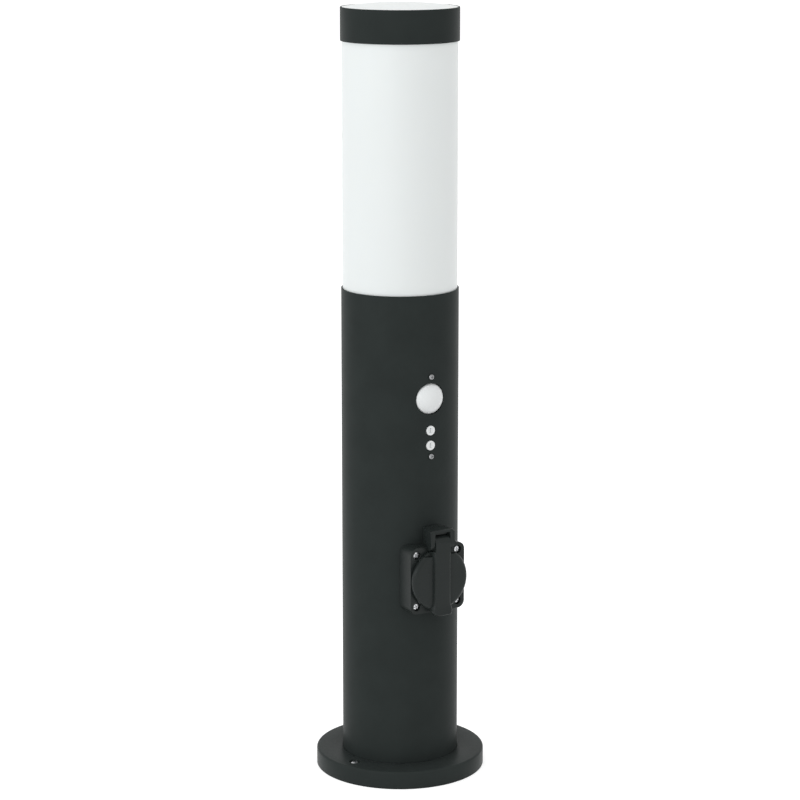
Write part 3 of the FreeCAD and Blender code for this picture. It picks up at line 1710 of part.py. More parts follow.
faults = [item.Name for item in doc.Objects if {"Invalid", "Error"} & set(item.State)]
faults += [
    item.Name
    for item in doc.Objects
    if item.TypeId in ("PartDesign::Pocket", "PartDesign::Groove")
    and not item.Shape.Volume < item.BaseFeature.Shape.Volume - 1e-6
]
faults += [node.Label for node in NODES if node.Shape.isNull() or not node.Shape.isValid()]
if faults:
    raise SystemExit("failed: " + ", ".join(faults))

os.makedirs("parts", exist_ok=True)
for node in NODES:
    node.Shape.exportStep(os.path.join("parts", node.Label + ".step"))
print(f"wrote {len(NODES)} nodes")
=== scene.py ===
"""Dresses the bollard light: smooth outer pieces, finishes, a plain studio and the photograph's camera.

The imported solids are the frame. Pieces that show are built again here with fine rounds and real screws,
each on the body that carries it, and the pieces inside keep their solids and get a finish.
Sizes are in millimetres and are turned into metres once, when a mesh is made. The studio is in metres.
"""

import json
import logging
import math
from dataclasses import dataclass, field
from enum import Enum
from typing import Callable, Optional, Sequence

import bmesh
import bpy
from mathutils import Matrix, Vector

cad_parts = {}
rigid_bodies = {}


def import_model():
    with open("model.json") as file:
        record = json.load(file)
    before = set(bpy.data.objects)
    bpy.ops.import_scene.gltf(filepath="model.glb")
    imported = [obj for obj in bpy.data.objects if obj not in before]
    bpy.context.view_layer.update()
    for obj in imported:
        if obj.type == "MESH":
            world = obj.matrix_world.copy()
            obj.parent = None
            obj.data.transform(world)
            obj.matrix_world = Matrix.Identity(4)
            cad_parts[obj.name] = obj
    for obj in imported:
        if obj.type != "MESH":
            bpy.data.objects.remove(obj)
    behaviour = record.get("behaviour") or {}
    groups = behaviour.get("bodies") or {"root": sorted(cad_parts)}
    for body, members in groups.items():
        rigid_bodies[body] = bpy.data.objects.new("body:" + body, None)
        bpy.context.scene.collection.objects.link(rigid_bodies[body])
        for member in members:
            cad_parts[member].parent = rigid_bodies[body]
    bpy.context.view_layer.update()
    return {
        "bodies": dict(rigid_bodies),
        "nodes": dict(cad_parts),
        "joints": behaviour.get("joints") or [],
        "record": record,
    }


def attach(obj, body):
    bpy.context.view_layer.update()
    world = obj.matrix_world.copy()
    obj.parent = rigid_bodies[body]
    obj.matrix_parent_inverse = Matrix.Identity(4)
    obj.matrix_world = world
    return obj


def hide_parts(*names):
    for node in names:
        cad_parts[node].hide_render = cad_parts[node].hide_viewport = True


LOG = logging.getLogger("bollard")

Point = tuple[float, float]
Triple = tuple[float, float, float]
Piece = bpy.types.Object
Socket = bpy.types.NodeSocket

MM = 0.001  # metres in a millimetre
NEAR = 0.01  # millimetres within which two places are the same
ON_AXIS = 1e-6  # the least radius that isn't on the axis
OVER_HEAD = 10.0  # a height over every screw's head
BEYOND = 60.0  # a depth past every front piece
CREASE = 32.0  # degrees past which an edge of a dressed piece stays crisp
SOLID_CREASE = 25.0  # the same for a solid that keeps its shape
NOISE_LOW, NOISE_HIGH = 0.3, 0.7  # the range in which most of a noise's values lie
LEAST_ROUGHNESS = 0.02
WHITE: Triple = (1.0, 1.0, 1.0)
TUBE_SIDES, WELL_SIDES, HOLE_SIDES = 256, 128, 24  # sides of a circle as wide as each

LID_BACK = 48.3  # the depth of the closed lid's back

# Heights over the ground of what shows on the tube's front.
LENS_UP = 254.6
TIME_KNOB_UP = 233.9
LUX_KNOB_UP = 224.1
TOP_SCREW_UP = 269.0
LOW_SCREW_UP = 217.0
OUTLET_UP = 138.0


class Body(Enum):
    """Names of the rigid bodies that pieces ride on."""

    POST = "post"
    LID = "socket_lid"
    TIME_KNOB = "time_knob"
    LUX_KNOB = "lux_knob"
    HEAD = "head"


class Along(Enum):
    """Direction in which an outline is extruded, and the row axes that its two numbers run along."""

    X = "x"
    Z = "z"

    def place(self, a: float, b: float, depth: float) -> Triple:
        """Returns the point of outline numbers a and b at a depth along this axis."""
        return (depth, a, b) if self is Along.X else (a, b, depth)


def front(up: float) -> Matrix:
    """Returns the placement of a front piece: x across, y up from a height, z out from the post's axis."""
    return Matrix.Translation((0.0, 0.0, up)) @ Matrix.Rotation(math.radians(90.0), 4, "X")


def spun(angle: float) -> Matrix:
    """Returns a turn about the z axis by an angle in degrees."""
    return Matrix.Rotation(math.radians(angle), 4, "Z")


@dataclass(frozen=True)
class Corner:
    """A corner of an outline, in millimetres, with the radius that rounds it."""

    x: float
    y: float
    r: float = 0.0
    steps: int = 6


def rounded(corners: Sequence[Corner]) -> list[Point]:
    """Works out a closed outline from its corners.

    Args:
        corners: the corners in order, each with its own radius.

    Returns:
        The outline's points, with each round cut into its steps.
    """
    points: list[Point] = []
    for index, corner in enumerate(corners):
        here = Vector((corner.x, corner.y))
        if corner.r <= 0.0:
            points.append((here.x, here.y))
            continue
        before = corners[index - 1]
        after = corners[(index + 1) % len(corners)]
        back = Vector((before.x, before.y)) - here
        ahead = Vector((after.x, after.y)) - here
        half = back.angle(ahead) / 2
        reach = corner.r / math.tan(half)
        start = here + back.normalized() * reach
        middle = (back.normalized() + ahead.normalized()).normalized()
        centre = here + middle * (corner.r / math.sin(half))
        sweep = (start - centre).angle_signed(here + ahead.normalized() * reach - centre)
        for step in range(corner.steps + 1):
            turned = (start - centre).copy()
            turned.rotate(Matrix.Rotation(-sweep * step / corner.steps, 2))
            points.append(tuple(centre + turned))
    return points


def angles(start: float, end: float, steps: int) -> list[float]:
    """Returns angles in radians in even steps from a start to an end in degrees."""
    return [math.radians(start + (end - start) * k / steps) for k in range(steps + 1)]


def arc(centre: Point, radius: float, start: float, end: float, steps: int = 8) -> list[Corner]:
    """Works out the points of an arc.

    Args:
        centre: the arc's centre.
        radius: its radius.
        start: its first angle in degrees.
        end: its last angle in degrees.
        steps: how many straight lines stand for it.

    Returns:
        The arc's points as plain corners, both ends included.
    """
    x, y = centre
    return [Corner(x + radius * math.cos(t), y + radius * math.sin(t)) for t in angles(start, end, steps)]


def eased(distance: float, r: float) -> float:
    """Returns how far a round of radius r stands back at a distance from where it ends."""
    return r - math.sqrt(max(0.0, r * r - (r - min(distance, r)) ** 2))


def disc(radius: float, centre: Point = (0.0, 0.0), sides: int = 48) -> list[Point]:
    """Returns the points of a circle."""
    turns = [2 * math.pi * k / sides for k in range(sides)]
    return [(centre[0] + radius * math.cos(t), centre[1] + radius * math.sin(t)) for t in turns]


def box_outline(
    wide: float, tall: float, r: float = 0.0, centre: Point = (0.0, 0.0), steps: int = 6
) -> list[Point]:
    """Works out a rectangle's outline with rounded corners.

    Args:
        wide: the rectangle's width.
        tall: its height.
        r: the radius of its corners.
        centre: its middle.
        steps: how many straight lines stand for each corner.

    Returns:
        The outline's points.
    """
    x, y = wide / 2, tall / 2
    signs = ((-1, -1), (1, -1), (1, 1), (-1, 1))
    return rounded([Corner(centre[0] + x * a, centre[1] + y * b, r, steps) for a, b in signs])


def cross_outline(wide: float, reach: float) -> list[Point]:
    """Works out the outline of a cross recess.

    Args:
        wide: the width of each arm.
        reach: how far each arm reaches from the middle.

    Returns:
        The outline's points.
    """
    w = wide / 2
    quarter = [(reach, -w), (reach, w), (w, w)]
    points: list[Point] = []
    for turn in range(4):
        c, d = round(math.cos(turn * math.pi / 2)), round(math.sin(turn * math.pi / 2))
        points += [(x * c - y * d, x * d + y * c) for x, y in quarter]
    return points


def placed(name: str, data: bpy.types.ID) -> Piece:
    """Makes an object and links it to the scene.

    Args:
        name: the object's name.
        data: its mesh, lamp or camera.

    Returns:
        The object, at the origin.
    """
    made = bpy.data.objects.new(name, data)
    bpy.context.scene.collection.objects.link(made)
    return made


def discard(piece: Piece) -> None:
    """Removes an object with its mesh.

    Args:
        piece: the object.
    """
    used = piece.data
    bpy.data.objects.remove(piece)
    bpy.data.meshes.remove(used)


def on_one_side(edge: bmesh.types.BMEdge) -> bool:
    """Tells whether an edge stays on one side of the middle, so it isn't one that runs across a prism."""
    return edge.verts[0].co.x * edge.verts[1].co.x > 0.0


class Shape:
    """One closed mesh under construction, in millimetres in its own frame."""

    def __init__(self, placement: Optional[Matrix] = None) -> None:
        """Starts an empty shape with the placement that takes it into the row frame."""
        self.placement = placement or Matrix.Identity(4)
        self.mesh = bmesh.new()

    def turn(self, outline: Sequence[Point], sides: int = 96) -> "Shape":
        """Turns a closed outline of (radius, height) points about the z axis.

        Args:
            outline: the points, of which those with no radius lie on the axis.
            sides: how many sides stand for the circle.

        Returns:
            The shape itself.
        """
        rings: list[list[bmesh.types.BMVert]] = []
        for r, z in outline:
            if r < ON_AXIS:
                rings.append([self.mesh.verts.new((0.0, 0.0, z))])
                continue
            rings.append([self.mesh.verts.new((x, y, z)) for x, y in disc(r, sides=sides)])
        for index, ring in enumerate(rings):
            before = rings[index - 1]
            if len(ring) == 1 and len(before) == 1:
                continue
            for k in range(sides):
                n = (k + 1) % sides
                ends = ((before, k), (before, n), (ring, n), (ring, k))
                quad = dict.fromkeys(loop[at % len(loop)] for loop, at in ends)
                self.mesh.faces.new(list(quad))
        return self

    def prism(self, outline: Sequence[Point], low: float, high: float, along: Along = Along.Z) -> "Shape":
        """Extrudes a closed outline.

        Args:
            outline: the outline's points.
            low: where the extrusion starts along its direction.
            high: where it ends.
            along: the direction.

        Returns:
            The shape itself.
        """
        return self.loft([[along.place(a, b, depth) for a, b in outline] for depth in (low, high)])

    def loft(self, rings: Sequence[Sequence[Triple]]) -> "Shape":
        """Joins closed rings of as many points each, in order, and closes both ends.

        Args:
            rings: the rings' points.

        Returns:
            The shape itself.
        """
        loops = [[self.mesh.verts.new(point) for point in ring] for ring in rings]
        self.mesh.faces.new(loops[0])
        self.mesh.faces.new(loops[-1])
        for before, ring in zip(loops, loops[1:]):
            for k in range(len(ring)):
                n = (k + 1) % len(ring)
                self.mesh.faces.new((before[k], before[n], ring[n], ring[k]))
        return self

    def bevel(self, width: float, chosen: Callable[[bmesh.types.BMEdge], bool], segments: int = 4) -> "Shape":
        """Rounds the edges that are chosen.

        Args:
            width: how far the round reaches from the edge.
            chosen: tells whether an edge is rounded.
            segments: how many flats stand for the round.

        Returns:
            The shape itself.
        """
        edges = [edge for edge in self.mesh.edges if chosen(edge)]
        how = {"segments": segments, "profile": 0.5, "affect": "EDGES", "clamp_overlap": True}
        bmesh.ops.bevel(self.mesh, geom=edges, offset=width, **how)
        return self

    def done(self, name: str) -> Piece:
        """Makes the shape an object in the row frame.

        Args:
            name: the object's name.

        Returns:
            The object, at the origin with its place in its mesh.
        """
        bmesh.ops.recalc_face_normals(self.mesh, faces=self.mesh.faces)
        self.mesh.transform(Matrix.Scale(MM, 4) @ self.placement)
        data = bpy.data.meshes.new(name)
        self.mesh.to_mesh(data)
        self.mesh.free()
        return placed(name, data)


class Join(Enum):
    """How one mesh acts on another."""

    CUT = "DIFFERENCE"
    ADD = "UNION"


def combine(base: Piece, tool: Piece, how: Join) -> Piece:
    """Cuts one object from another or adds it, which uses it up.

    Args:
        base: the object that stays.
        tool: the object that acts on it.
        how: what it does.

    Returns:
        The object that stays.
    """
    change = base.modifiers.new("combine", "BOOLEAN")
    change.operation = how.value
    change.solver = "EXACT"
    change.object = tool
    graph = bpy.context.evaluated_depsgraph_get()
    made = bpy.data.meshes.new_from_object(base.evaluated_get(graph))
    base.modifiers.clear()
    old = base.data
    base.data = made
    bpy.data.meshes.remove(old)
    discard(tool)
    return base


def drill(
    base: Piece,
    outline: Sequence[Point],
    span: Point,
    placement: Optional[Matrix] = None,
    along: Along = Along.Z,
) -> Piece:
    """Cuts an outline out of an object.

    Args:
        base: the object that stays.
        outline: the cut's outline.
        span: where the cut starts and ends along its direction.
        placement: the frame that both are drawn in.
        along: the direction.

    Returns:
        The object that stays.
    """
    low, high = span
    return combine(base, Shape(placement).prism(outline, low, high, along).done("cutter"), Join.CUT)


def smooth(piece: Piece, angle: float) -> None:
    """Shades a piece smooth, with edges sharper than an angle in degrees left crisp."""
    piece.data.polygons.foreach_set("use_smooth", [True] * len(piece.data.polygons))
    piece.data.set_sharp_from_angle(angle=math.radians(angle))


def fill(node: bpy.types.Node, values: dict[str, object]) -> None:
    """Sets some of a node's sockets."""
    for name, value in values.items():
        node.inputs[name].default_value = value


class NodeTree:
    """Short names for building one material's nodes."""

    def __init__(self, name: str) -> None:
        """Starts a material with its principled shader.

        Args:
            name: the material's name.
        """
        self.material = bpy.data.materials.new(name)
        self.material.use_nodes = True
        self.nodes = self.material.node_tree.nodes
        self.links = self.material.node_tree.links
        self.shader = next(n for n in self.nodes if n.type == "BSDF_PRINCIPLED")
        self.place = self.nodes.new("ShaderNodeTexCoord")

    def noise(self, size: float, detail: float, stretch: Point = (1.0, 1.0)) -> Socket:
        """Adds noise.

        Args:
            size: how large its grain is, in millimetres.
            detail: how many finer layers it has.
            stretch: how much longer the grain is across and along the height.

        Returns:
            The noise's value, from 0 to 1.
        """
        scaled = self.nodes.new("ShaderNodeMapping")
        fill(scaled, {"Scale": (1 / stretch[0], 1 / stretch[0], 1 / stretch[1])})
        made = self.nodes.new("ShaderNodeTexNoise")
        fill(made, {"Scale": 1 / (size * MM), "Detail": detail})
        self.links.new(self.place.outputs["Object"], scaled.inputs["Vector"])
        self.links.new(scaled.outputs["Vector"], made.inputs["Vector"])
        return made.outputs["Fac"]

    def spread(self, value: Socket, low: float, high: float) -> Socket:
        """Spreads a noise's value over a range.

        Args:
            value: the noise's value.
            low: what its low end becomes.
            high: what its high end becomes.

        Returns:
            The value in the range.
        """
        made = self.nodes.new("ShaderNodeMapRange")
        fill(made, {"From Min": NOISE_LOW, "From Max": NOISE_HIGH, "To Min": low, "To Max": high})
        self.links.new(value, made.inputs["Value"])
        return made.outputs["Result"]

    def blend(self, value: Socket, first: Triple, second: Triple) -> Socket:
        """Blends two colours by a noise's value.

        Args:
            value: the noise's value.
            first: the colour of its low end.
            second: the colour of its high end.

        Returns:
            The colour.
        """
        made = self.nodes.new("ShaderNodeValToRGB")
        for stop, at, colour in zip(made.color_ramp.elements, (NOISE_LOW, NOISE_HIGH), (first, second)):
            stop.position = at
            stop.color = (*colour, 1.0)
        self.links.new(value, made.inputs["Fac"])
        return made.outputs["Color"]

    def relief(self, value: Socket, height: float) -> None:
        """Raises the surface by a value.

        Args:
            value: the value, from 0 to 1.
            height: the height of 1, in millimetres.
        """
        made = self.nodes.new("ShaderNodeBump")
        fill(made, {"Strength": 1.0, "Distance": height * MM})
        self.links.new(value, made.inputs["Height"])
        self.links.new(made.outputs["Normal"], self.shader.inputs["Normal"])

    def feed(self, socket: str, value: Socket) -> None:
        """Feeds a socket of the shader."""
        self.links.new(value, self.shader.inputs[socket])


@dataclass(frozen=True)
class Finish:
    """A surface: its colour and gloss, and how both vary over it.

    The mottle is the wide variation of the colour. The grain is the fine one of the gloss and of the
    relief, with its size and depth in millimetres.
    """

    name: str
    colour: Triple
    roughness: float = 0.45
    metallic: float = 0.0
    mottle: float = 0.06
    mottle_size: float = 18.0
    mottle_detail: float = 3.0
    gloss_spread: float = 0.04
    grain: float = 0.8
    grain_detail: float = 2.0
    depth: float = 0.004
    stretch: Point = (1.0, 1.0)
    coat: float = 0.0
    coat_roughness: float = 0.12
    specular: float = 0.5
    scatter: float = 0.0
    scatter_reach: float = 4.0
    scatter_tint: Triple = (1.0, 0.95, 0.9)

    def material(self) -> bpy.types.Material:
        """Builds the material, once for each name.

        Returns:
            The material, the same one when it is asked for again.
        """
        found = bpy.data.materials.get(self.name)
        if found:
            return found
        tree = NodeTree(self.name)
        wide = tree.noise(self.mottle_size, self.mottle_detail)
        darker = tuple(c * (1 - self.mottle) for c in self.colour)
        lighter = tuple(min(1.0, c * (1 + self.mottle)) for c in self.colour)
        tree.feed("Base Color", tree.blend(wide, darker, lighter))
        fine = tree.noise(self.grain, self.grain_detail, self.stretch)
        low = max(LEAST_ROUGHNESS, self.roughness - self.gloss_spread)
        tree.feed("Roughness", tree.spread(fine, low, self.roughness + self.gloss_spread))
        tree.relief(fine, self.depth)
        fill(tree.shader, {"Metallic": self.metallic, "Specular IOR Level": self.specular})
        fill(tree.shader, {"Coat Weight": self.coat, "Coat Roughness": self.coat_roughness})
        fill(tree.shader, {"Subsurface Weight": self.scatter, "Subsurface Radius": self.scatter_tint})
        fill(tree.shader, {"Subsurface Scale": self.scatter_reach * MM})
        return tree.material


SLOT_FINISH: dict[str, Finish] = {
    "anthracite_metal": Finish(
        "powder_coat", (0.0256, 0.031, 0.0298), 0.43, grain=0.7, depth=0.006, gloss_spread=0.05, specular=0.04
    ),
    "black_plastic": Finish(
        "black_moulding", (0.0186, 0.0228, 0.0219), 0.3, grain=0.35, gloss_spread=0.05, specular=0.15
    ),
    "opal_plastic": Finish(
        "opal", (0.842, 0.876, 0.868), 0.38, mottle=0.006, mottle_size=60.0, gloss_spread=0.02,
        grain=5.0, depth=0.002, scatter=0.25, scatter_reach=3.0,
    ),
    "white_plastic": Finish(
        "white_moulding", (0.82, 0.84, 0.84), 0.3, mottle=0.01, grain=0.5, depth=0.001, scatter=0.15
    ),
    "zinc_steel": Finish(
        "zinc", (0.66, 0.67, 0.68), 0.32, metallic=1.0, grain=0.25, depth=0.002, stretch=(1.0, 4.0)
    ),
    "brass": Finish("brass", (0.76, 0.58, 0.27), 0.3, metallic=1.0, grain=0.3, depth=0.002),
    "black_rubber": Finish("rubber", (0.018, 0.018, 0.018), 0.72, grain=0.3, depth=0.006),
    "dark_plastic": Finish("dark_moulding", (0.03, 0.031, 0.033), 0.5, grain=0.3, depth=0.004),
    "grey_plastic": Finish("grey_moulding", (0.36, 0.37, 0.38), 0.48, grain=0.3, depth=0.003),
    "blue_plastic": Finish("blue_moulding", (0.03, 0.11, 0.36), 0.35, grain=0.3, depth=0.002),
    "green_board": Finish(
        "solder_mask", (0.02, 0.16, 0.06), 0.3, mottle=0.2, mottle_size=3.0, grain=0.6, depth=0.01, coat=0.3
    ),
    "porcelain": Finish("porcelain", (0.78, 0.76, 0.72), 0.25, mottle=0.02, grain=1.5, depth=0.01, coat=0.8),
    "lamp_metal": Finish("aluminium", (0.74, 0.75, 0.76), 0.34, metallic=1.0, grain=0.3, depth=0.002),
    "lamp_white": Finish(
        "lamp_white", (0.82, 0.82, 0.8), 0.42, mottle=0.01, grain=1.0, depth=0.002, scatter=0.2
    ),
}

# Finishes of pieces that look unlike the rest of their slot. The foot's cast coat is a little lighter than
# the tube's powder coat: partly the cast foot's own tone and partly painted light, which brightens the foot's
# top beyond what the lamps give it.
LIT_CAST_COAT = Finish(
    "lit_cast_coat", (0.0275, 0.0333, 0.032), 0.4, grain=0.7, depth=0.006, gloss_spread=0.05, specular=0.05
)
# The case screws' steel is the zinc darkened: painted shade standing in for the darker reflections on their
# heads.
SHADED_STEEL = Finish("shaded_steel", (0.31, 0.315, 0.32), 0.3, metallic=1.0, grain=0.25, depth=0.002)


def show(
    piece: Piece, body: Body, slot: str, nodes: Sequence[str] = (), finish: Optional[Finish] = None
) -> None:
    """Finishes a piece and puts it on its body.

    Args:
        piece: the piece, in place.
        body: the body that it rides on.
        slot: the record's material slot, which also picks the finish.
        nodes: the solids that it stands for.
        finish: the finish, where it isn't the slot's own.
    """
    smooth(piece, CREASE)
    piece.data.materials.clear()
    piece.data.materials.append((finish or SLOT_FINISH[slot]).material())
    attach(piece, body.value)
    if nodes:
        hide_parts(*nodes)
    LOG.info("piece %s: %d faces", piece.name, len(piece.data.polygons))


@dataclass
class PanScrew:
    """A screw with a pan head and a cross recess, standing on the origin of its own frame.

    The tip's radius and length are shares of the shank's radius. Both rounds and the recess's floor are
    shares of the head's height, the recess's arm of the head's width and its reach of the head's radius.
    """

    head_d: float
    head_tall: float
    shank_d: float
    length: float
    tip: Point = (0.6, 0.5)
    under_round: float = 0.12
    dome_round: float = 0.6
    recess_arm: float = 0.14
    recess_reach: float = 0.62
    recess_floor: float = 0.4

    def solid(self, name: str, placement: Matrix) -> Piece:
        """Builds the screw with its head pointing along its own z axis.

        Args:
            name: the object's name.
            placement: where the underside of the head lies, in millimetres.

        Returns:
            The screw.
        """
        head = self.head_d / 2
        shank = self.shank_d / 2
        tip_radius, tip_length = self.tip
        corners = [
            Corner(0.0, -self.length),
            Corner(shank * tip_radius, -self.length),
            Corner(shank, -self.length + shank * tip_length),
            Corner(shank, 0.0),
            Corner(head, 0.0, self.head_tall * self.under_round, 2),
            Corner(head, self.head_tall, self.head_tall * self.dome_round, 7),
            Corner(0.0, self.head_tall),
        ]
        made = Shape(placement).turn(rounded(corners), sides=40).done(name)
        recess = cross_outline(self.head_d * self.recess_arm, head * self.recess_reach)
        return drill(made, recess, (self.head_tall * self.recess_floor, OVER_HEAD), placement)

    def group(self, name: str, seats: Sequence[Matrix]) -> Piece:
        """Builds a screw in each seat, as one object with separate solids.

        Args:
            name: the object's name.
            seats: where the underside of each head lies.

        Returns:
            The object with all the screws.
        """
        whole = bmesh.new()
        for seat in seats:
            one = self.solid("screw", seat)
            whole.from_mesh(one.data)
            discard(one)
        data = bpy.data.meshes.new(name)
        whole.to_mesh(data)
        whole.free()
        return placed(name, data)


@dataclass
class Foot:
    """The cast foot: a shallow dish with a recess for the tube, and two ground screws.

    Each ground screw has its side of the foot and the turn of its recess, in degrees. The ribs and the
    tube's screws are turned from the ground screws.
    """

    radius: float = 55.5
    tall: float = 11.6
    edge: float = 1.3
    bottom_edge: float = 0.3
    roof: float = 4.2
    skirt: float = 4.0
    skirt_round: float = 0.8
    seat_radius: float = 38.15
    seat_deep: float = 1.5
    seat_round: float = 0.25
    gland_hole: float = 10.1
    hub: Point = (15.5, 18.0)
    rib_wall: float = 2.4
    rib_low: float = 1.0
    ribs: int = 6
    rib_turn: float = 90.0
    bite: float = 1.0
    ground_radius: float = 45.3
    ground_angle: float = 17.9
    ground_boss: float = 6.0
    ground_hole: float = 2.6
    ground_sink: float = 3.8
    sink_deep: float = 3.2
    tube_screws: int = 3
    tube_screw_turn: float = 60.0
    tube_screw_radius: float = 30.0
    tube_screw_hole: float = 2.1
    above: float = 20.0
    screw: PanScrew = field(default_factory=lambda: PanScrew(6.0, 2.9, 4.6, 8.0))
    ground_screws: tuple[Point, ...] = ((0.0, 20.0), (180.0, 65.0))

    def at(self, radius: float, angle: float) -> Point:
        """Returns the point at a radius and an angle in degrees."""
        return radius * math.cos(math.radians(angle)), radius * math.sin(math.radians(angle))

    def shell(self) -> Piece:
        """Builds the dish with its ribs, hub and bosses, and drills it.

        Returns:
            The foot.
        """
        under = self.tall - self.roof
        seat = self.tall - self.seat_deep
        inside = self.radius - self.skirt
        into_roof = under + self.bite
        corners = [
            Corner(self.gland_hole, under),
            Corner(inside, under, self.skirt_round),
            Corner(inside, 0.0),
            Corner(self.radius, 0.0, self.bottom_edge, 2),
            Corner(self.radius, self.tall, self.edge, 8),
            Corner(self.seat_radius, self.tall, self.seat_round, 3),
            Corner(self.seat_radius, seat),
            Corner(self.gland_hole, seat),
        ]
        made = Shape().turn(rounded(corners), sides=TUBE_SIDES).done("foot")
        inner, outer = self.hub
        ring = [(inner, self.rib_low), (outer, self.rib_low), (outer, into_roof), (inner, into_roof)]
        combine(made, Shape().turn(ring, sides=64).done("hub"), Join.ADD)
        rib = box_outline(inside - outer + 2 * self.bite, self.rib_wall, centre=((outer + inside) / 2, 0.0))
        for k in range(self.ribs):
            turned = spun(self.ground_angle + self.rib_turn + 360.0 / self.ribs * k)
            combine(made, Shape(turned).prism(rib, self.rib_low, into_roof).done("rib"), Join.ADD)
        for side, _ in self.ground_screws:
            spot = self.at(self.ground_radius, self.ground_angle + side)
            combine(made, Shape().prism(disc(self.ground_boss, spot), 0.0, into_roof).done("boss"), Join.ADD)
            drill(made, disc(self.ground_hole, spot), (-self.bite, self.above))
            drill(made, disc(self.ground_sink, spot), (self.tall - self.sink_deep, self.above))
        for k in range(self.tube_screws):
            angle = self.ground_angle + self.tube_screw_turn + 360.0 / self.tube_screws * k
            spot = self.at(self.tube_screw_radius, angle)
            drill(made, disc(self.tube_screw_hole, spot, sides=HOLE_SIDES), (0.0, self.above))
        return made

    def build(self) -> None:
        """Makes the foot and its ground screws."""
        show(self.shell(), Body.POST, "anthracite_metal", ["base_flange"], LIT_CAST_COAT)
        seats = []
        for side, spin in self.ground_screws:
            x, y = self.at(self.ground_radius, self.ground_angle + side)
            seats.append(Matrix.Translation((x, y, self.tall - self.sink_deep)) @ spun(spin))
        show(self.screw.group("ground_screws", seats), Body.POST, "zinc_steel")


@dataclass
class Post:
    """The tube with its openings, each a height and a radius."""

    radius: float = 38.0
    wall: float = 0.8
    low: float = 10.1
    high: float = 321.7
    edge: float = 0.3
    openings: tuple[Point, ...] = (
        (LENS_UP, 10.3),
        (TIME_KNOB_UP, 3.6),
        (LUX_KNOB_UP, 3.6),
        (TOP_SCREW_UP, 1.3),
        (LOW_SCREW_UP, 1.3),
        (OUTLET_UP, 19.2),
    )
    opening_span: Point = (20.0, 50.0)

    def build(self) -> None:
        """Makes the tube and cuts its front openings."""
        inner = self.radius - self.wall
        corners = [
            Corner(inner, self.low),
            Corner(self.radius, self.low),
            Corner(self.radius, self.high, self.edge, 4),
            Corner(inner, self.high, self.edge, 4),
        ]
        made = Shape().turn(rounded(corners), sides=TUBE_SIDES).done("tube")
        for up, radius in self.openings:
            drill(made, disc(radius, sides=64), self.opening_span, front(up))
        show(made, Body.POST, "anthracite_metal", ["post_tube"])


